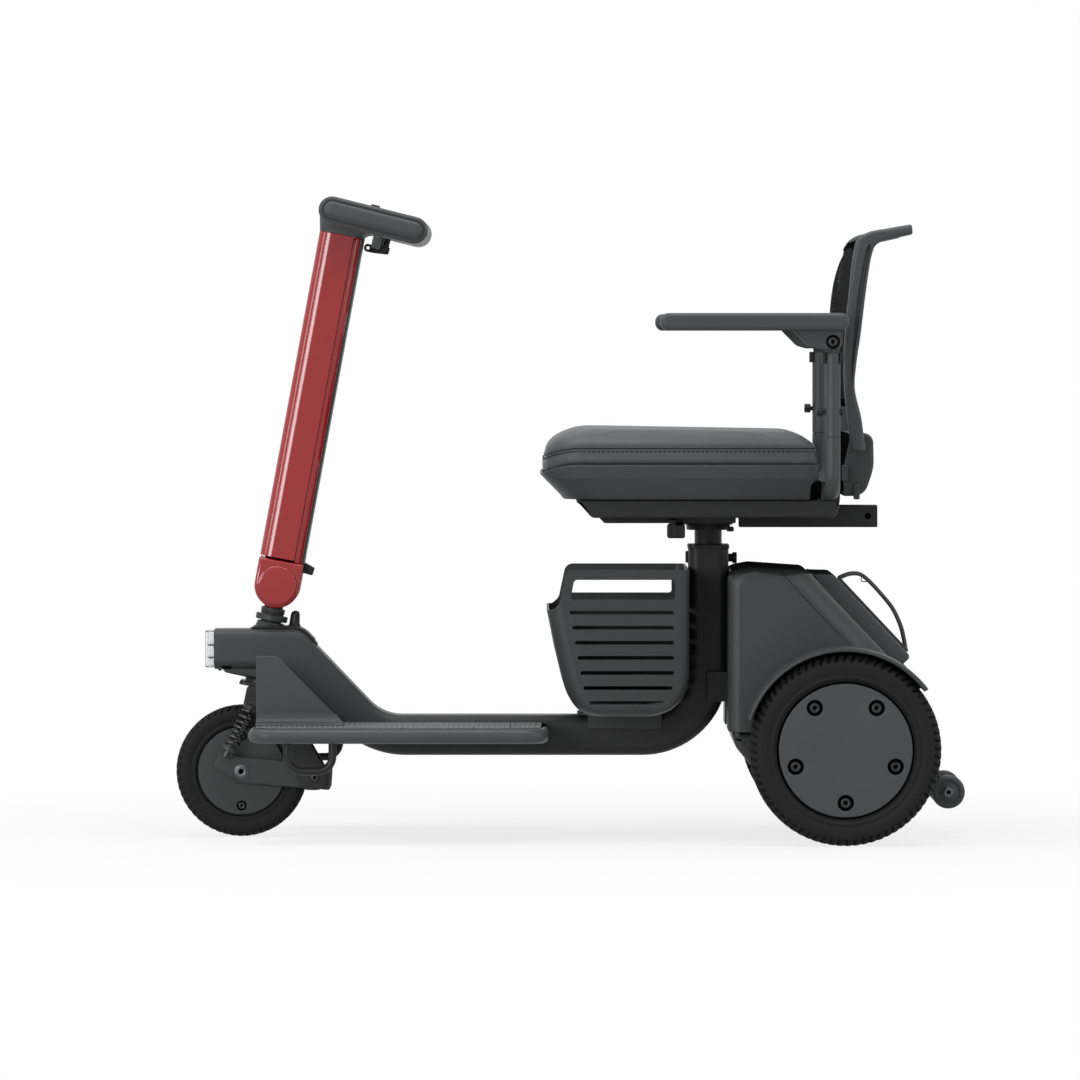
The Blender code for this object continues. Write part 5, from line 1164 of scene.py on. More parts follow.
def makeHandle():
    h = handleSize
    shell = plateOf("handleLoop", stadium(h["length"], h["thick"]), -h["half"], h["half"], 0.0045, pod, steps=4)
    for side in sides:
        low, high = sorted((side * 0.085, side * 0.170))
        opening = rounded((-0.042, low), (0.042, high), 0.020)
        cutAway(shell, plateOf("handWay", opening, -0.05, 0.05, 0, pod, flat=True))
    hangers = [sideBlock(
        "rodHanger", side, (0.003, 0.015), (0.058, 0.066), (-0.0295, -0.0150), 0.0012, pod
    ) for side in sides]
    piece(gather("handleShell", shell, *hangers), "tiller", "plastic", "mouldedPlastic", "handle_shell")
    pads = []
    grooves = []
    for side in sides:
        rows = []
        for mark in (0, 12, 24, 36, 48, 60, 72, 82):
            inset = 0.0064 + 0.0104 * (1 - math.cos(math.radians(mark)))
            out = 0.0052 * math.sin(math.radians(mark)) - 0.0012
            ring = stadium(h["length"] - 2 * inset, h["thick"] - 2 * inset)
            rows.append([(p.x, side * (h["half"] + out), p.y) for p in ring])
        pads.append(lofted("handlePad", rows, pod, 60))
        ring = stadium(h["length"] - 0.0080, h["thick"] - 0.0080)
        grooves.append(sidePlate("padGroove", side, ring, (h["half"] - 0.0010, h["half"] + 0.0001), 0, pod))
    piece(gather("handlePads", *pads), "tiller", "plastic", "mouldedPlastic")
    # A darker sheet round each pad: painted shade in the groove
    piece(gather("handleGrooves", *grooves), "tiller", "plastic", "satinPaint")
    rows = []
    for z, front, rear, half in ((0.4803, 0.0304, 0.0304, 0.0359), (0.4815, 0.0306, 0.0309, 0.0360),
                                 (0.4830, 0.0309, 0.0323, 0.0361),
                                 (0.4845, 0.0312, 0.0347, 0.0363), (0.4860, 0.0315, 0.0387, 0.0366),
                                 (0.4880, 0.0319, 0.0448, 0.0371),
                                 (0.4910, 0.0325, 0.0530, 0.0380), (0.4950, 0.0332, 0.0600, 0.0392),
                                 (0.5040, 0.0345, 0.0680, 0.0415)):
        rows.append([(p.x, p.y, z) for p in rounded((-front, -half), (rear, half), 0.0169, 5)])
    # The neck takes the paler wheel plastic: painted light against the shade under the handle
    piece(lofted("handleNeck", rows, steer), "tiller", "plastic", "wheelPlastic", "handle_neck")

    rod = bar("throttleRod", (0.009, -0.0995, -0.0235), (0.009, 0.0995, -0.0235), 0.0035, 0.0008, 24, pod)
    paddle = rounded((0.0035, -0.0350), (0.0145, -0.0190), 0.002)
    paddles = [sidePlate("throttlePaddle", side, paddle, (0.092, 0.120), 0.0015, pod) for side in sides]
    piece(gather("throttleBar", rod, *paddles), "throttle", "plastic", "mouldedPlastic", "throttle")
    headPath = roundPath([
        (-0.0085, -0.0415, 0.0050), (-0.0085, -0.0305, 0.0050), (0.0050, -0.0305, 0.0020),
        (0.0100, -0.0285, 0.0020), (0.0260, -0.0285, 0.0020), (0.0258, -0.0385, 0.0020),
        (0.0050, -0.0412, 0.0020)
    ])
    eye = circle((-0.0030, -0.0360), 0.0022, 24)
    head = plateOf("keyHead", headPath, 0.0278, 0.0322, 0.0008, pod, holes=[eye])
    blade = bar("keyBlade", (0.020, 0.030, -0.0300), (0.020, 0.030, -0.0085), 0.0042, 0.0004, 24, pod)
    piece(gather("startKey", head, blade), "key", "black_plastic", "blackPlastic", "key")
    dial = lathed("speedDial", [(0, 0.0110), (0.003, 0.0110), (0.003, 0.0183), (0.0060, 0.0183),
                                (0.0060, 0.0212), (0.0054, 0.0221),
                                (0.0040, 0.0225), (0, 0.0226)], pod @ Matrix.Translation((-0.006, 0, 0)), 36,
                  closed=False,
                  relief=lambda turn, i, r, z: (r + (0.0003 * math.cos(turn * 18) if i in (3, 4) else 0), z))
    piece(dial, "speed_dial", "black_plastic", "blackPlastic", "speed_dial")


# Basket and its saddle
basketSize = dict(half=0.160, wall=0.003, top=0.3635, floor=0.1679, slit=0.0026, slitEnd=0.0024)


def basketEnds(z):
    # Front and rear of the basket at a height, from its side outline
    fronts = [
        (0.1679, 0.0290), (0.1690, 0.0235), (0.1710, 0.0190), (0.1735, 0.0150), (0.1765, 0.0112),
        (0.1800, 0.0076), (0.1845, 0.0040), (0.1900, 0.0005), (0.1970, -0.0035), (0.2060, -0.0072),
        (0.2200, -0.0115), (0.2600, -0.0212), (0.3100, -0.0312), (0.3300, -0.0350), (0.3700, -0.0420)
    ]
    rears = [
        (0.1679, 0.1100), (0.1690, 0.1160), (0.1710, 0.1225), (0.1735, 0.1285), (0.1765, 0.1340),
        (0.1800, 0.1390), (0.1845, 0.1440), (0.1900, 0.1486), (0.1970, 0.1530), (0.2060, 0.1566),
        (0.2200, 0.1587), (0.2400, 0.1590), (0.3700, 0.1590)
    ]

    def at(marks):
        for (z0, x0), (z1, x1) in zip(marks, marks[1:]):
            if z <= z1:
                return x0 + (x1 - x0) * (z - z0) / (z1 - z0)
        return marks[-1][1]

    return at(fronts), at(rears)


def makeBasket():
    b = basketSize
    heights = [
        0.1679, 0.1683, 0.1690, 0.1710, 0.1735, 0.1765, 0.1800, 0.1845, 0.1900, 0.1970, 0.2060, 0.2130, 0.2200,
        0.2400, 0.2600, 0.2850, 0.3100, 0.3350, b["top"]
    ]

    def ring(z, inset, lift=0.0):
        front, rear = basketEnds(z)
        tuck = 0.011 * max(0.0, 1 - (z - b["floor"]) / 0.011) ** 2
        half = b["half"] - tuck - inset
        corners = [
            (front + inset, -half, 0.022), (rear - inset, -half, 0.012), (rear - inset, half, 0.012),
            (front + inset, half, 0.022)
        ]
        return [(p.x, p.y, z + lift) for p in roundPath(corners, 9)]

    rows = [ring(z, 0) for z in heights]
    rows[-1] = ring(b["top"] - 0.0008, 0)
    rows.append(ring(b["top"], 0.0006))
    rows.append(ring(b["top"], b["wall"] - 0.0006))
    rows.append(ring(b["top"] - 0.0008, b["wall"]))
    rows += [ring(z, b["wall"], 0.003 if z < 0.172 else 0.0) for z in heights[-2:1:-1]]
    basket = lofted("basketShell", rows)
    mouth = roundPath([
        (-0.10, 0.3095, 0), (-0.0235, 0.3095, 0.004), (-0.0145, 0.3170, 0.012), (-0.0072, 0.3515, 0)
    ], 5)
    mouth += arcPath((0.0050, 0.3515), 0.0120, 178, 90, 12) + [Vector((0.0050, 0.42)), Vector((-0.10, 0.42))]
    cutters = [plateOf("basketMouth", mouth, -0.2, 0.2)]
    grip = roundPath([
        (0.0005, 0.3237, 0.004), (0.1400, 0.3237, 0.004), (0.1400, 0.3502, 0.004), (0.0056, 0.3502, 0.005)
    ])
    cutters.append(plateOf("basketGrip", grip, -0.2, 0.2))
    for row in range(7):
        z = 0.3067 - row * 0.0201
        front = -0.0005 + 0.0036 * row + (0.004 if row == 6 else 0)
        end = {5: 0.1365, 6: 0.1290}.get(row, 0.1385)
        low, high = z - b["slit"], z + b["slit"]
        slit = rounded((front, low), (end, high), b["slitEnd"], 20)
        cutters.append(plateOf("basketSlit", slit, -0.2, 0.2))
        notch = rounded((-0.135, low), (0.135, high), b["slitEnd"], 20)
        turn = Matrix.Rotation(math.pi / 2, 4, "Z")
        cutters.append(plateOf("rearSlit", notch, -0.20, -0.13, 0, turn))
    piece(cutAway(settle(cutAway(basket, *cutters))), "basket", "plastic", "headPlastic", "basket")

    def inside(face):
        # The inner skin faces the basket's middle and its floor faces up; these faces get the painted shade
        # inside the basket
        inward = Vector((0.06 - face.center.x, -face.center.y * 0.3, 0)).normalized().dot(face.normal)
        onFloor = face.normal.z > 0.5 and face.center.z < 0.19
        acrossY = face.center.y * face.normal.y < -0.05
        return onFloor or acrossY or (inward > 0.5 and abs(face.normal.z) < 0.6 and abs(face.normal.y) < 0.5)

    # Painted shade on the basket's inner skin and floor
    repaint(basket, "basketInnerShade", inside)
    saddle = [block("saddleTop", (0.010, -0.0393, 0.1643), (0.096, 0.0393, 0.1676), 0.0008)]
    saddle += [sideBlock(
        "saddleCheek", side, (0.0243, 0.1240), (beamCheek, 0.0393), (0.1463, 0.1676), 0.0010
    ) for side in sides]
    piece(gather("basketSaddle", *saddle), "chassis", "painted_steel", "headPlastic", "basket_bracket")


# Rear cover, battery, underbody and anti-tip rollers
coverSize = dict(half=0.172, front=0.211, tailRear=0.4445, low=0.148, top=0.3670, fender=0.1345)


def shadeTopFaces(made, floor):
    # Faces above the floor that look up get painted shade, the shade under the seat, and no shine
    repaint(made, "coverTopShade", lambda face: face.normal.z > 0.6 and face.center.z > floor)


def makeRearCover():
    def profile(front, top, slope, rear, low):
        # The side outline drawn in by these amounts; the tail line keeps its slope
        t = tailSize
        shift = slope / math.cos(t["slope"])
        rearX = coverSize["tailRear"] - rear
        rearZ = t["z"] - (rearX - t["x"]) * math.tan(t["slope"]) - shift
        topZ = coverSize["top"] - top
        breakX = t["x"] + (t["z"] - shift - (topZ - 0.005)) / math.tan(t["slope"])
        frontX = coverSize["front"] + front
        corners = [
            (frontX, low, 0.0005), (frontX, topZ - 0.006, 0.018), (0.243 + front, topZ, 0.020),
            (breakX, topZ - 0.005, 0.012), (rearX, rearZ, 0.010), (rearX, low, 0.0005)
        ]
        return roundPath(corners, 6)

    half = coverSize["half"]
    rows = []
    steps = [
        (half, 0.016, 0.0098, 0.0250, 0.004), (half - 0.0008, 0.0110, 0.0072, 0.0225, 0.0020),
        (half - 0.0030, 0.0062, 0.0048, 0.0185, 0.0010), (half - 0.0070, 0.0028, 0.0026, 0.0130, 0.0004),
        (half - 0.0130, 0.0008, 0.0010, 0.0065, 0), (half - 0.0210, 0, 0.0002, 0.0015, 0),
        (half - 0.0300, 0, 0, 0, 0)
    ]
    for y, front, top, slope, rear in steps:
        rows.append([(p.x, -y, p.y) for p in profile(front, top, slope, rear, coverSize["low"])])
    rows += [[(x, -y, z) for x, y, z in row] for row in rows[::-1]]
    shell = lofted("coverShell", rows, smooth=32)
    hollow = [Vector((x, z)) for x, z in (
        (0.216, 0.10), (0.216, 0.350), (0.240, 0.3610), (0.296, 0.3590), (0.4300, 0.2150), (0.4300, 0.10)
    )]
    slot = block("tubeWay", (0.18, -0.048, 0.05), (0.2172, 0.048, 0.45), 0.004)
    knob = block("knobWay", (0.18, -0.0100, 0.355), (0.2370, 0.0100, 0.45), 0.002)
    bay = block("batteryBay", (0.0150, -0.1060, -0.032), (0.1785, 0.1060, 0.05), 0.002, tail)
    cutAway(shell, plateOf("coverHollow", hollow, -0.150, 0.150), slot, knob, bay)
    lip = plateOf("tailLip", roundPath([
        (0.1785, -0.010, 0.001), (0.1785, 0.0085, 0.002), (0.2000, 0.0078, 0.004), (0.1970, -0.013, 0.002)
    ]), -0.110, 0.110, 0.0016, tail)
    fenders = []
    for side in sides:
        rows = []
        section = [
            (0.1640, 0.1306), (0.2440, 0.1306), (0.2470, 0.1309), (0.2484, 0.1318), (0.2487, 0.1335),
            (0.2480, 0.1350), (0.2462, 0.1358), (0.2420, 0.1360), (0.1640, 0.1360)
        ]
        marks = [162.6, 162.3] + [161.8 - 124.4 * k / 60 for k in range(61)] + [37.1, 36.8]
        for k, mark in enumerate(marks):
            t = math.radians(mark)
            thin = 0.8 if k in (0, len(marks) - 1) else 1
            thick = 1 + 0.22 * max(0.0, (60.0 - mark) / 23)
            ring = []
            for y, r in section:
                reach = coverSize["fender"] + (r - coverSize["fender"]) * thin * thick
                ring.append((rearAxle.x + reach * math.cos(t), side * y, rearAxle.z + reach * math.sin(t)))
            rows.append(ring)
        fenders.append(lofted("fender", rows))
    # The cover's painted shade darkens its top, under the seat
    cover = piece(gather("rearCover", shell, lip, *fenders), "chassis", "plastic", "coverShadeRun", "rear_cover")
    shadeTopFaces(cover, 0.35)
    # A black inner skirt under each fender: painted shade under the fender
    skirts = []
    for side in sides:
        rows = []
        for k in range(61):
            t = math.radians(161.8 - 124 * k / 60)
            rows.append([
                (rearAxle.x + r * math.cos(t), side * y, rearAxle.z + r * math.sin(t)) for y,
                r in ((0.1655, 0.1130), (0.1685, 0.1130), (0.1685, 0.1330), (0.1655, 0.1330))
            ])
        skirts.append(lofted("fenderSkirt", rows))
    piece(gather("fenderSkirts", *skirts), "chassis", "plastic", "blackPlastic")
    # Dark lines along the side crease: painted shade in the crease
    creases = []
    for side in sides:
        line = [(x, side * (half + 0.0001), z) for x, z in (
            (0.2775, 0.3640), (0.300, 0.3392), (0.340, 0.2968), (0.3585, 0.2772)
        )]
        creases.append(piped("coverCrease", line, 0.0003, 8))
    piece(gather("coverCreases", *creases), "chassis", "plastic", "recessBlack")


def makeBattery():
    outline = roundPath([
        (0.0160, -0.0500, 0.003), (0.0160, -0.0014, 0.001), (0.0034, 0.0004, 0.0005), (0.0250, 0.0222, 0.009),
        (0.1770, 0.0220, 0.006), (0.1770, -0.0500, 0.003)
    ], 5)
    pack = plateOf("batteryPack", outline, -0.105, 0.105, 0.0030, tail, steps=4)
    # The pack is painted lighter against the shade of its bay, and its top faces get the painted shade under
    # the seat
    shadeTopFaces(piece(pack, "battery", "plastic", "packLitPlastic", "battery"), 0.34)
    face = 0.0222
    path = flow([
        (0.0385, face + 0.0022), (0.0440, face + 0.0160), (0.0540, face + 0.0262), (0.0690, face + 0.0292),
        (0.0960, face + 0.0290), (0.1190, face + 0.0268), (0.1420, face + 0.0192), (0.1590, face + 0.0098),
        (0.1700, face + 0.0022)
    ], 56)
    rows = []
    for i, p in enumerate(path):
        after = path[min(i + 1, len(path) - 1)]
        before = path[max(i - 1, 0)]
        normal = Vector((-(after - before).y, (after - before).x)).normalized()
        ring = []
        for k in range(20):
            t = 2 * math.pi * k / 20
            wide = 0.012 * math.copysign(abs(math.cos(t)) ** 0.35, math.cos(t))
            thick = 0.0028 * math.copysign(abs(math.sin(t)) ** 0.6, math.sin(t))
            ring.append((p.x + normal.x * thick, wide, p.y + normal.y * thick))
        rows.append(ring)
    strap = lofted("strapArch", rows, tail)
    foot = block("strapFoot", (0.0370, -0.0125, face), (0.1740, 0.0125, face + 0.0042), 0.0014, tail)
    piece(gather("batteryStrap", strap, foot), "battery", "black_plastic", "strapWeb", "battery_strap")
    tag = piped("strapTag", [(
        0.058 + 0.010 * k / 12, 0.0, face + 0.0268 - 0.0050 * math.sin(math.pi * k / 12)
    ) for k in range(13)], 0.0007, 10, tail)
    piece(tag, "battery", "black_plastic", "strapWeb")


rollerSize = dict(x=0.5082, z=0.0626, y=0.060, pin=0.0735)


def makeUnderbody():
    r = rollerSize
    outline = roundPath([
        (0.2150, 0.1479, 0.002), (0.2205, 0.1270, 0.020), (0.2620, 0.0765, 0.030), (0.3000, 0.0640, 0.030),
        (0.4145, 0.0640, 0.030), (0.4445, 0.0950, 0.020), (0.4445, 0.1479, 0.002)
    ], 5)
    tray = plateOf("underTray", outline, -0.150, 0.150, 0.010, steps=5)
    # Paler than black plastic: painted light against the shade under the scooter
    piece(tray, "chassis", "black_plastic", "headPlastic", "underbody")
    yoke = block("coupleBlock", (0.2143, -0.0443, 0.172), (0.2327, 0.0443, 0.2235), 0.0015)
    cheeks = [sideBlock(
        "coupleCheek", side, (0.184, 0.216), (beamCheek, 0.0443), (0.183, 0.2235), 0.0015
    ) for side in sides]
    piece(gather("rearCoupling", yoke, *cheeks), "chassis", "painted_steel", "satinPaint", "rear_coupling")
    stay = roundPath([
        (0.4448, 0.125, 0.002), (0.4448, 0.085, 0.002), (0.5042, 0.0526, 0.008), (0.5182, 0.0606, 0.008),
        (0.5102, 0.0736, 0.008)
    ])
    heads = []
    shadeDiscs = []
    members = [block("tipPlate", (0.4448, -0.036, 0.085), (0.4490, 0.036, 0.125), 0.001)]
    members.append(bar("rollerPin", (r["x"], -r["pin"], r["z"]), (r["x"], r["pin"], r["z"]), 0.004))
    for side in sides:
        members.append(sidePlate("tipStay", side, stay, (0.030, 0.036), 0.001))
        seat = outward(r["x"], side * 0.0722, r["z"], side)
        heads.append(socketBolt("pinHead", seat, 0.0068, 0.0036, 0.0030, shadeDiscs))
    piece(gather("pinHeads", *heads), "chassis", "steel", "zincSteel")
    # Painted shade in the bolt sockets
    piece(gather("pinSockets", *shadeDiscs), "chassis", "steel", "recessBlack")
    piece(gather("antiTipBracket", *members), "chassis", "painted_steel", "satinPaint", "anti_tip_bracket")
    for side, word in sides.items():
        base = outward(r["x"], side * r["y"], r["z"], side)
        half = [
            (0.0043, 0.0112), (0.0100, 0.0112), (0.0112, 0.0102), (0.0150, 0.0102), (0.0160, 0.0112),
            (0.0188, 0.0113), (0.0212, 0.0098), (0.0224, 0.0066)
        ]
        profile = half + [(0.0225, 0)] + mirrored(half)[len(half):]
        roller = lathed("tipRoller." + word, profile, base, 64)
        piece(roller, "roller_" + word, "rubber", "mouldedPlastic", "anti_tip_roller_" + word)


# Seat
seatSize = dict(front=-0.041, rear=0.332, half=0.2135, lip=0.5040, seam=0.5255, top=0.5525)


def frontDrop(x):
    # The rim of the seat runs down towards the front edge
    t = min(1.0, max(0.0, (0.010 - x) / 0.050))
    return 0.0125 * t * t


def seatRing(z, drop, front, side, rear, corner, count):
    # A ring of evenly spaced points round the seat, each edge drawn in by its own amount
    s = seatSize
    x0, x1, half = s["front"] + front, s["rear"] - rear, s["half"] - side
    tight = min(corner, 0.014)
    corners = [(x0, -half, corner), (x1, -half, tight), (x1, half, tight), (x0, half, corner)]
    outline = roundPath(corners, 4)

    def frontRun(i):
        onFront = max(outline[i].x, outline[i - 1].x) < x0 + 1e-5
        return (outline[i] - outline[i - 1]).length if onFront else 0

    middle = max(range(len(outline)), key=frontRun)
    outline = [Vector((x0, 0))] + outline[middle:] + outline[:middle]
    lengths = [0.0]
    for a, b in zip(outline, outline[1:] + outline[:1]):
        lengths.append(lengths[-1] + (b - a).length)
    ring = []
    i = 0
    for k in range(count):
        want = lengths[-1] * k / count
        while lengths[i + 1] < want:
            i += 1
        t = (want - lengths[i]) / max(lengths[i + 1] - lengths[i], 1e-9)
        p = outline[i].lerp(outline[(i + 1) % len(outline)], t)
        ring.append(Vector((p.x, p.y, z - frontDrop(p.x) * drop)))
    return ring


def evenRing(inset, z, drop, count=200, corner=0.050):
    return seatRing(z, drop, inset, inset, min(inset, 0.003), corner, count)


def panRing(inset, z, drop):
    # The pan's nose is one straight slope from its lip down to its floor
    nose = 0.0012
    for _ in range(4):
        sunk = z - frontDrop(seatSize["front"] + nose) * drop
        nose = min(0.0335, max(0.0012, 0.0335 - 0.0323 * (sunk - 0.4576) / 0.0339))
    return seatRing(z, drop, max(nose, inset), inset, min(inset, 0.003), 0.050, 200)


def makePan():
    s = seatSize
    rows = [evenRing(0.036, 0.4576, 0), evenRing(0.0335, 0.4576, 0.0), evenRing(0.0315, 0.4588, 0.05)]
    rows += [panRing(0.0315 - 0.0253 * t, 0.4588 + 0.0270 * t, 0.75 * t) for t in (0.2, 0.4, 0.6, 0.8, 0.94)]
    rows += [panRing(*mark) for mark in (
        (0.0056, 0.4864, 0.80), (0.0046, 0.4880, 0.84), (0.0016, 0.4990, 1.0), (0.0013, 0.5018, 1.0)
    )]
    rows += [
        evenRing(away, s["lip"] - sunk, 1.0) for away,
        sunk in ((0.0012, 0.0006), (0.0018, 0), (0.0040, 0), (0.0046, 0.0010))
    ]
    rows.append(seatRing(0.4900, 1.0, 0.0220, 0.0060, 0.003, 0.050, 200))
    pan = lofted("seatPan", rows, smooth=28)
    arch = roundPath([(0.3185, 0.445, 0), (0.3185, 0.4830, 0.011), (0.3600, 0.4830, 0.004), (0.3600, 0.445, 0)])
    cutters = [sidePlate("armArch", side, arch, (0.150, 0.26)) for side in sides]
    piece(cutAway(pan, *cutters), "seat", "plastic", "mouldedPlastic", "seat_pan")
    # A near-black sheet inside the pan: painted shade between the pan and the cushion
    panShadeSheet = lofted("panInnerShade", [
        evenRing(0.045, 0.4580, 0), evenRing(0.016, 0.4920, 0.8), evenRing(0.012, 0.5005, 1.0)
    ])
    piece(panShadeSheet, "seat", "black_plastic", "recessBlack")


cushionSize = dict(voxel=0.005, pressure=4.0, frames=20, cap=0.0016)


def cushionTop(x, y):
    # Crown: highest a little behind the front edge, falling gently to the rear and the sides
    back = max(0.0, (x - 0.030) / 0.25)
    tailEnd = max(0.0, (x - 0.285) / 0.050)
    return seatSize["top"] - 0.0042 * back - 0.0055 * tailEnd ** 2 - 0.0035 * (y / 0.21) ** 2


def makeCushion():
    s = seatSize
    inset = 0.0030
    rows = [evenRing(0.012, s["lip"] - 0.0030, 1.0)]
    for away, z in ((0.0050, s["lip"] - 0.0020), (0.0028, s["lip"] + 0.0030), (0.0018, s["lip"] + 0.0100),
                    (0.0026, s["seam"] - 0.0040), (0.0032, s["seam"])):
        rows.append(evenRing(away + inset, z, 1.0))
    for mark in (6, 13, 20, 28, 36, 44, 52, 60, 68, 75, 81, 86):
        turn = math.radians(mark)
        roll = 1 - math.cos(turn)
        start = 0.0022 + inset
        ring = seatRing(
            s["seam"] + 0.0006, 1.0, start + 0.062 * roll, start + 0.046 * roll, start + 0.036 * roll, 0.050,
            200
        )
        rows.append([Vector((p.x, p.y, p.z + (cushionTop(p.x, p.y) - p.z) * math.sin(turn))) for p in ring])
    for away in (0.078, 0.098, 0.125, 0.155, 0.180):
        ring = seatRing(s["top"], 0, away, away - 0.015, away - 0.025, max(0.008, 0.050 - away * 0.22), 200)
        rows.append([Vector((p.x, p.y, cushionTop(p.x, p.y))) for p in ring])
    cushion = lofted("seatCushion", rows, smooth=80)
    cushion = puffed(cushion)
    pinchSeam(cushion)
    shade(cushion, 80)
    piece(cushion, "seat", "vinyl", "seatVinyl", "seat_cushion")
    surface = BVHTree.FromObject(cushion, bpy.context.evaluated_depsgraph_get())

    def onSkin(level, lift, count):
        # The line round the cushion at a height, laid on its skin
        line = []
        for p in seatRing(level, 1.0, -0.02, -0.02, -0.02, 0.07, count):
            inside = Vector((min(0.29, max(0.02, p.x)), p.y * 0.72, p.z))
            hit, normal, _, _ = surface.ray_cast(p, (inside - p).normalized(), 0.2)
            if hit:
                # The drop belongs to the place on the skin, not to the place outside it
                hit.z += frontDrop(p.x) - frontDrop(hit.x)
                line.append(hit + normal * lift)
        return line

    welt = piped("cushionSeam", onSkin(s["seam"], 0.0002, 600), 0.0006, 8, closed=True)
    stitchLine = onSkin(s["seam"] - 0.0040, 0.0001, 1080)
    stitches = []
    for k in range(0, len(stitchLine) - 3, 4):
        stitches.append(piped("stitch", stitchLine[k:k + 4], [0.0004, 0.0008, 0.0008, 0.0004], 6))
    piece(gather("cushionStitches", welt, *stitches), "seat", "vinyl", "seamThread")


def puffed(cushion):
    # Foam under tight vinyl: the skin swells a little under pressure and is then kept
    start = cushion.copy()
    start.data = cushion.data.copy()
    bpy.context.scene.collection.objects.link(start)
    remesh = start.modifiers.new("skin", "REMESH")
    remesh.mode = "VOXEL"
    remesh.voxel_size = cushionSize["voxel"]
    settle(start)
    before = [v.co.copy() for v in start.data.vertices]
    cloth = start.modifiers.new("cloth", "CLOTH")
    cloth.settings.use_pressure = True
    cloth.settings.uniform_pressure_force = cushionSize["pressure"]
    cloth.settings.effector_weights.gravity = 0
    cloth.settings.tension_stiffness = 40
    cloth.settings.compression_stiffness = 40
    cloth.settings.shear_stiffness = 20
    cloth.settings.bending_stiffness = 2
    cloth.settings.quality = 6
    hold = start.vertex_groups.new(name="hold")
    hold.add([
        i for i, p in enumerate(before) if p.z < seatSize["lip"] + 0.002 - frontDrop(p.x)
    ], 1.0, "REPLACE")
    cloth.settings.vertex_group_mass = "hold"
    scene = bpy.context.scene
    cloth.point_cache.frame_start = 1
    cloth.point_cache.frame_end = cushionSize["frames"]
    for step in range(1, cushionSize["frames"] + 1):
        scene.frame_set(step)
    settle(start)
    scene.frame_set(1)
    for knot, old in zip(start.data.vertices, before):
        move = knot.co - old
        if move.length > cushionSize["cap"]:
            knot.co = old + move.normalized() * cushionSize["cap"]
    start.vertex_groups.clear()
    fine = start.modifiers.new("fine", "SUBSURF")
    fine.levels = 1
    fine.render_levels = 1
    settle(start)
    bpy.data.objects.remove(cushion)
    start.name = "seatCushion"
    print("cushion settled:", len(start.data.vertices), "points")
    return start


def pinchSeam(cushion):
    # The seam pulls the skin in along its line
    for knot in cushion.data.vertices:
        p = knot.co
        off = p.z - (seatSize["seam"] - frontDrop(p.x))
        pull = 0.0014 * math.exp(-(off / 0.0022) ** 2)
        if pull > 0.00005:
            knot.co = p - knot.normal * pull


def makeSeatFrame():
    tray = plateOf("seatTray", roundPath([
        (0.0073, 0.4573, 0.0005), (0.0290, 0.4328, 0.010), (0.3548, 0.4328, 0.012), (0.3588, 0.4573, 0.0005)
    ]), -0.170, 0.170, 0.003, steps=4)
    swivel = plateOf("swivelPlate", roundPath([
        (0.0374, 0.4335, 0.0005), (0.0460, 0.4243, 0.005), (0.2220, 0.4243, 0.002), (0.2220, 0.4335, 0.0005)
    ]), -0.100, 0.100, 0.0015)
    saddle = block("armSaddle", (0.3332, -0.172, 0.4560), (0.3588, 0.172, 0.4818), 0.0025)
    rail = block("receiverBar", (0.228, -0.015, 0.417), (0.415, 0.015, 0.447), 0.0018)
    well = block("receiverWay", (0.300, -0.012, 0.420), (0.43, 0.012, 0.444), 0.0008)
    pinHole = bar("pinHole", (0.402, -0.05, 0.432), (0.402, 0.05, 0.432), 0.0042, around=28)
    cutAway(rail, well, pinHole)
    piece(gather("seatFrame", tray, swivel, saddle, rail), "seat", "painted_steel", "satinPaint", "seat_frame")
    # A near-black block in the receiver's well: painted shade seen through the pin hole
    stop = block("receiverStop", (0.392, -0.0115, 0.4205), (0.411, 0.0115, 0.4435), 0.0008)
    piece(stop, "seat", "painted_steel", "recessBlack")
    stem = lathed("postStem", [
        (0, 0.255), (0.0176, 0.255), (0.0184, 0.2565), (0.0184, 0.4133), (0.0283, 0.4133), (0.0295, 0.4143),
        (0.0295, 0.4200), (0.0330, 0.4205), (0.0335, 0.4235), (0.0300, 0.4240), (0, 0.4240)
    ], Matrix.Translation((postX, 0, 0)), 64, closed=False)
    cutAway(stem, block("keyway", (0.1998, -0.0035, 0.322), (0.215, 0.0035, 0.3791), 0.0006))
    lug = block("flangeLug", (0.2120, -0.009, 0.4110), (0.2215, 0.009, 0.4175), 0.0015)
    piece(gather("seatPost", stem, lug), "seat_post", "steel", "satinPaint", "seat_post")
    knob = lathed("pinKnob", [(0, -0.016), (0.003, -0.016), (0.003, 0), (0.0055, 0.0003), (0.0055, 0.0050),
                              (0.0068, 0.0052), (0.0075, 0.0060), (0.0075, 0.0104),
                              (0.0068, 0.0113), (0, 0.0115)],
                  Matrix.Translation((0.2143, 0, 0.3756)) @ Matrix.Rotation(math.pi / 2, 4, "Y"), 40,
                  closed=False)
    piece(knob, "height_pin", "black_plastic", "blackPlastic", "height_pin")
    arm = block("leverArm", (0.139, -0.116, 0.4190), (0.153, -0.036, 0.4240), 0.0012)
    grip = block("leverGrip", (0.1298, -0.122, 0.4046), (0.1538, -0.098, 0.4236), 0.0030)
    stem = block("leverStem", (0.1322, -0.122, 0.4200), (0.1416, -0.110, 0.4302), 0.0015)
    ribs = [block(
        "leverRib", (x, -0.1236, 0.4058), (x + 0.0046, -0.1195, 0.4228), 0.0008
    ) for x in (0.1305, 0.1385, 0.1485)]
    piece(
        gather("swivelLever", arm, grip, stem, *ribs), "swivel_lever", "black_plastic", "blackPlastic",
        "swivel_lever"
    )


armSize = dict(x=0.346, y=0.25, tube=0.01025, pivot=0.667)


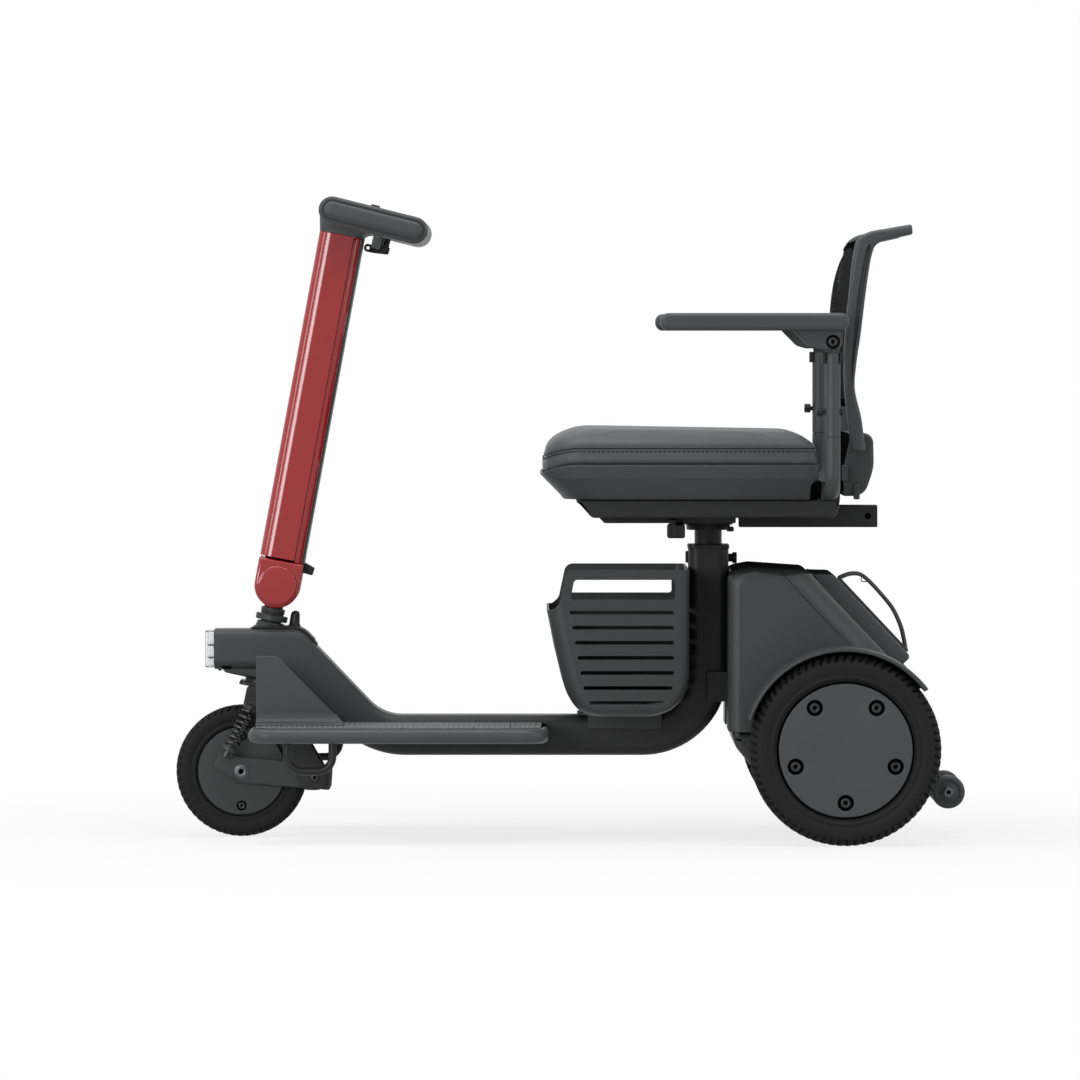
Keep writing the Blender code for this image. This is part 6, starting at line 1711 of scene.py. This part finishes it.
def makeArms(side):
    word = sides[side]
    x = armSize["x"]
    y = side * armSize["y"]
    tube = armSize["tube"]
    path = roundPath([(side * 0.150, 0.469, 0), (y, 0.469, 0.024), (y, 0.5410, 0)], 5)
    lower = piped("armTube", [(x, p.x, p.y) for p in path], tube, 36)
    spigot = bar("armSpigot", (x, y, 0.535), (x, y, 0.601), 0.0082, 0.0008)
    piece(
        gather("armTube." + word, lower, spigot), "seat", "painted_steel", "mouldedPlastic", "arm_tube_" + word
    )
    sleeve = lathed("armSleeve", [
        (0.0088, 0.5414), (0.0096, 0.5414), (tube, 0.5420), (tube, 0.6450), (0.0100, 0.6500), (0.0085, 0.6520),
        (0, 0.6520), (0, 0.6050), (0.0088, 0.6050)
    ], Matrix.Translation((x, y, 0)), 40)
    lugTop = arcPath((x, armSize["pivot"]), 0.009, 0, 180, 24)
    lug = plateOf(
        "armLug", [Vector((0.355, 0.6480)), *lugTop, Vector((0.337, 0.6480))], y - 0.004, y + 0.004, 0.0008
    )
    ears = []
    for sign in (-1, 1):
        middle = x + sign * 0.0118
        ears.append(block(
            "clampEar", (middle - 0.0026, y - 0.0085, 0.6385), (middle + 0.0026, y + 0.0085, 0.6530), 0.0012
        ))
    piece(gather("postClamp." + word, *ears), "armrest_post_" + word, "black_plastic", "blackPlastic")
    piece(
        gather("armPost." + word, sleeve, lug), "armrest_post_" + word, "painted_steel", "mouldedPlastic",
        "armrest_post_" + word
    )
    aim = Matrix.Translation((x, y, 0.575)) @ Matrix.Rotation(-math.pi / 2, 4, "Y")
    knob = lathed("postKnob", [(0, 0.0085), (0.003, 0.0085), (0.003, 0.0125), (0.0050, 0.0126),
                               (0.0058, 0.0134), (0.0058, 0.0202), (0.0050, 0.0212), (0, 0.0215)],
                  aim, 36, closed=False, relief=lambda turn, i, r,
                  z: (r + (0.0004 * math.cos(turn * 9) if i in (4, 5) else 0), z))
    nut = lathed("postNut", [
        (0, -0.0140), (0.0042, -0.0140), (0.0050, -0.0132), (0.0050, -0.0095), (0, -0.0095)
    ], aim, 36, closed=False, hexFrom=1)
    piece(gather("postKnob." + word, knob, nut), "armrest_post_" + word, "black_plastic", "blackPlastic")

    padPath = rounded((0.119, 0.682), (0.367, 0.705), 0.0105, 5)
    pad = plateOf("restPad", padPath, y - 0.0225, y + 0.0225, 0.0060, steps=5)
    wedgePath = roundPath([
        (0.2900, 0.6850, 0.001), (0.3140, 0.6610, 0.012), (0.3270, 0.6575, 0.010), (0.3580, 0.6575, 0.008),
        (0.3590, 0.6850, 0.001)
    ], 5)
    wedge = plateOf("restWedge", wedgePath, y - 0.011, y + 0.011, 0.0016)
    cutAway(wedge, block("lugSlot", (0.3335, y - 0.0047, 0.63), (0.38, y + 0.0047, 0.6785), 0.0004))
    piece(
        gather("armrest." + word, pad, wedge), "armrest_" + word, "plastic", "mouldedPlastic", "armrest_" + word
    )
    rings = []
    bolts = []
    shadeDiscs = []
    for face in sides:
        base = outward(x, y + face * 0.0108, armSize["pivot"], face)
        rings.append(lathed("pivotRing", [
            (0.0062, 0), (0.0092, 0), (0.0092, 0.0007), (0.0086, 0.0010), (0.0062, 0.0010)
        ], base, 40))
        bolts.append(socketBolt("pivotBolt", base, 0.0062, 0.0024, 0.0030, shadeDiscs))
    # The rings, with the painted shade in the bolt sockets
    piece(gather("pivotRings." + word, *rings, *shadeDiscs), "armrest_" + word, "plastic", "recessBlack")
    piece(gather("pivotBolts." + word, *bolts), "armrest_" + word, "plastic", "darkBolt")


# Backrest
backSize = dict(inner=0.180, outer=0.200, hinge=(0.384, 0.530))


def makeBack():
    hx, hz = backSize["hinge"]
    housing = plateOf("hingeHousing", roundPath([
        (0.3591, 0.4618, 0.007), (0.3915, 0.4618, 0.020), (0.4042, 0.5000, 0.060), (0.4030, 0.5460, 0.013),
        (0.3690, 0.5450, 0.010), (0.3591, 0.5000, 0.010)
    ], 5), -0.165, 0.165, 0.0060, steps=5)
    tabs = []
    for side in sides:
        tabs.append(sideBlock("latchTab", side, (0.3770, 0.3850), (0.1560, 0.1690), (0.4575, 0.4790), 0.0015))
        tabs.append(sideBlock("hingeEar", side, (0.3600, 0.3690), (0.1600, 0.1760), (0.4820, 0.5030), 0.0015))
    housing = piece(gather("hingeHousing", housing, *tabs), "seat", "plastic", "headPlastic", "hinge_housing")
    # Painted shade on the hollow front, behind the cushion
    repaint(housing, "recessBlack", lambda face: face.normal.x < -0.35 and face.center.z > 0.470)
    front = flow([
        (0.3745, 0.5225), (0.3695, 0.5500), (0.3658, 0.5800), (0.3630, 0.6150), (0.3630, 0.6600),
        (0.3655, 0.6950), (0.3689, 0.7270), (0.3725, 0.7636), (0.3757, 0.7860), (0.3802, 0.8015),
        (0.3950, 0.8122), (0.4200, 0.8172), (0.4525, 0.8228)
    ], 88)
    rear = flow([
        (0.3912, 0.5225), (0.3862, 0.5650), (0.3775, 0.6040), (0.3797, 0.6400), (0.3850, 0.6762),
        (0.3911, 0.7270), (0.3962, 0.7636), (0.4000, 0.7830), (0.4048, 0.7945), (0.4150, 0.8005),
        (0.4300, 0.8040), (0.4540, 0.8092)
    ], 88)
    members = []
    for side in sides:
        low, high = sorted((side * backSize["inner"], side * backSize["outer"]))
        band = ribbon("backBand", front, rear, low, high, 0.0062, cap=0.003)
        line = flow([
            (0.3968, 0.7960), (0.3940, 0.7850), (0.3893, 0.7600), (0.3838, 0.7270), (0.3785, 0.6814),
            (0.3748, 0.6450), (0.3730, 0.6150)
        ], 24)
        last = len(line) - 1
        rows = []
        for out, share in ((0.0010, 1.25), (-0.0006, 0.95), (-0.0028, 0.60), (-0.0040, 0.25)):
            ring = []
            for sign in (1, -1):
                for i in range(last + 1) if sign > 0 else range(last, -1, -1):
                    along = (line[min(i + 1, last)] - line[max(i - 1, 0)]).normalized()
                    wide = 0.0034 * share * min(1.0, 0.25 + i * 0.25, 0.12 + (last - i) * 0.09)
                    p = line[i] + Vector((-along.y, along.x)) * wide * sign
                    ring.append((p.x, side * (backSize["outer"] + out), p.y))
            rows.append(ring)
        members.append(cutAway(band, lofted("bandGroove", rows)))
        members.append(bar("backPin", (hx, side * 0.150, hz), (hx, side * 0.185, hz), 0.0075))
    members.append(bar("backRail", (0.4460, -0.182, 0.8150), (0.4460, 0.182, 0.8150), 0.0066, 0.0006, 32))
    piece(gather("backFrame", *members), "backrest", "plastic", "mouldedPlastic", "backrest_frame")
    hems = [
        bar("netHem", (x, -0.182, z), (x, 0.182, z), r, 0.0010) for x, z,
        r in ((0.3868, 0.7960, 0.0075), (0.3802, 0.7930, 0.0046), (0.3712, 0.5850, 0.0050))
    ]
    piece(gather("netHems", *hems), "backrest", "black_plastic", "recessBlack")

    shape = bmesh.new()
    knots = []
    rowsUp, rowsAcross = 66, 90
    edge = flow([
        (0.3702, 0.5862), (0.3655, 0.6200), (0.3655, 0.6600), (0.3680, 0.7000), (0.3718, 0.7400),
        (0.3757, 0.7700), (0.3797, 0.7930)
    ], rowsUp)
    belly = flow([
        (0.3700, 0.5862), (0.3600, 0.6200), (0.3532, 0.6600), (0.3514, 0.7000), (0.3556, 0.7400),
        (0.3636, 0.7700), (0.3750, 0.7930)
    ], rowsUp)
    for p, q in zip(edge, belly):
        row = []
        for j in range(rowsAcross + 1):
            u = 2 * j / rowsAcross - 1
            row.append(shape.verts.new((p.x + (q.x - p.x) * (1 - abs(u) ** 2.4), u * 0.1796, p.y)))
        knots.append(row)
    for i in range(rowsUp):
        for j in range(rowsAcross):
            shape.faces.new((knots[i][j], knots[i][j + 1], knots[i + 1][j + 1], knots[i + 1][j]))
    net = shaped("backNet", shape, smooth=80)
    piece(net, "backrest", "net", "backMesh", "back_net")


# Camera, floor and light
cameraSize = dict(place=(-0.04, -11.0, 0.672), aim=(-0.04, 0, 0.3994), lens=271.7)
lampSize = {
    "overhead": dict(place=(-0.2, -0.5, 3.0), aim=(0, 0, 0.3), size=(3.2, 2.4), power=92),
    "frontKey": dict(place=(-3.4, -1.2, 1.9), aim=(0, 0, 0.4), size=(0.9, 2.2), power=28),
    "leftBox": dict(place=(-2.57, -4.46, 1.15), aim=(-0.30, 0, 0.6), size=(3.3, 1.5), power=74),
    "leftShine": dict(place=(-2.45, -4.55, 1.15), aim=(-0.30, 0, 0.6), size=(1.8, 1.5), power=66,
                      shineOnly=True),
    "rearRim": dict(place=(3.0, -1.4, 1.7), aim=(0, 0, 0.45), size=(0.7, 2.0), power=22),
    "rightStrip": dict(place=(3.4, -2.6, 1.2), aim=(-0.30, 0, 0.6), size=(0.22, 2.6), power=12),
}


def aimed(holder, place, aim):
    holder.location = place
    holder.rotation_euler = (Vector(aim) - Vector(place)).to_track_quat("-Z", "Y").to_euler()


def plainRays(wire):
    # 1 for what the camera, a reflection or a clear piece sees, which is plain white
    kinds = ("Is Camera Ray", "Is Glossy Ray", "Is Transmission Ray")
    seen, mirror, through = [wire.node("LightPath", out=kind) for kind in kinds]
    return seen + mirror + through > 0.5


def makeStage():
    scene = bpy.context.scene
    scene.view_settings.view_transform = "Standard"
    lens = bpy.data.cameras.new("camera")
    lens.lens = cameraSize["lens"]
    lens.sensor_width = 36
    lens.clip_end = 60
    scene.camera = linked("camera", lens)
    aimed(scene.camera, cameraSize["place"], cameraSize["aim"])
    for name, lamp in lampSize.items():
        light = bpy.data.lights.new(name, "AREA")
        light.shape = "RECTANGLE"
        light.size, light.size_y = lamp["size"]
        light.energy = lamp["power"]
        holder = linked(name, light)
        holder.visible_camera = False
        holder.visible_diffuse = not lamp.get("shineOnly", False)
        aimed(holder, lamp["place"], lamp["aim"])

    world = bpy.data.worlds.new("studio")
    scene.world = world
    world.use_nodes = True
    sky = world.node_tree.nodes["Background"]
    glowing = 0.26 + plainRays(Wire(world.node_tree)) * 0.74
    world.node_tree.links.new(glowing.plug, sky.inputs["Strength"])
    sky.inputs["Color"].default_value = (1, 1, 1, 1)

    shape = bmesh.new()
    bmesh.ops.create_grid(shape, x_segments=8, y_segments=8, size=14)
    floor = shaped("floor", shape, Matrix.Translation((0, 0, -0.0005)))
    made = bpy.data.materials.new("paleFloor")
    made.use_nodes = True
    tree = made.node_tree
    tree.nodes.remove(tree.nodes["Principled BSDF"])
    wire = Wire(tree)
    matte = wire.node("BsdfDiffuse", None, {"Color": (0.66, 0.66, 0.66, 1)})
    glow = wire.node("Emission", None, {"Color": (1, 1, 1, 1), "Strength": 1.0})
    place = wire.node("TexCoord", out="Object")
    reach = wire.node("VectorMath", {"operation": "LENGTH"}, {0: place}, "Value")
    # Plain white far out, with a little of the shadow left under the scooter
    share = wire.node("MapRange", None, {
        "Value": reach, "From Min": 0.5, "From Max": 1.3, "To Min": 0.80, "To Max": 1.0
    })
    mixed = wire.node("MixShader", None, {0: plainRays(wire) * share, 1: matte, 2: glow})
    tree.links.new(mixed.plug, tree.nodes["Material Output"].inputs["Surface"])
    floor.data.materials.append(made)


makeStage()
makeBeam()
makeHeadCap()
makeHeadlight()
for side in sides:
    makeDeck(side)
print("frame and deck made")
makeFork()
makeFrontWheel()
for side in sides:
    makeRearWheel(side)
print("wheels made")
makeTiller()
makeHandle()
makeBasket()
print("tiller and basket made")
makeRearCover()
makeBattery()
makeUnderbody()
print("tail made")
makePan()
makeCushion()
makeSeatFrame()
for side in sides:
    makeArms(side)
makeBack()
print("seat made")
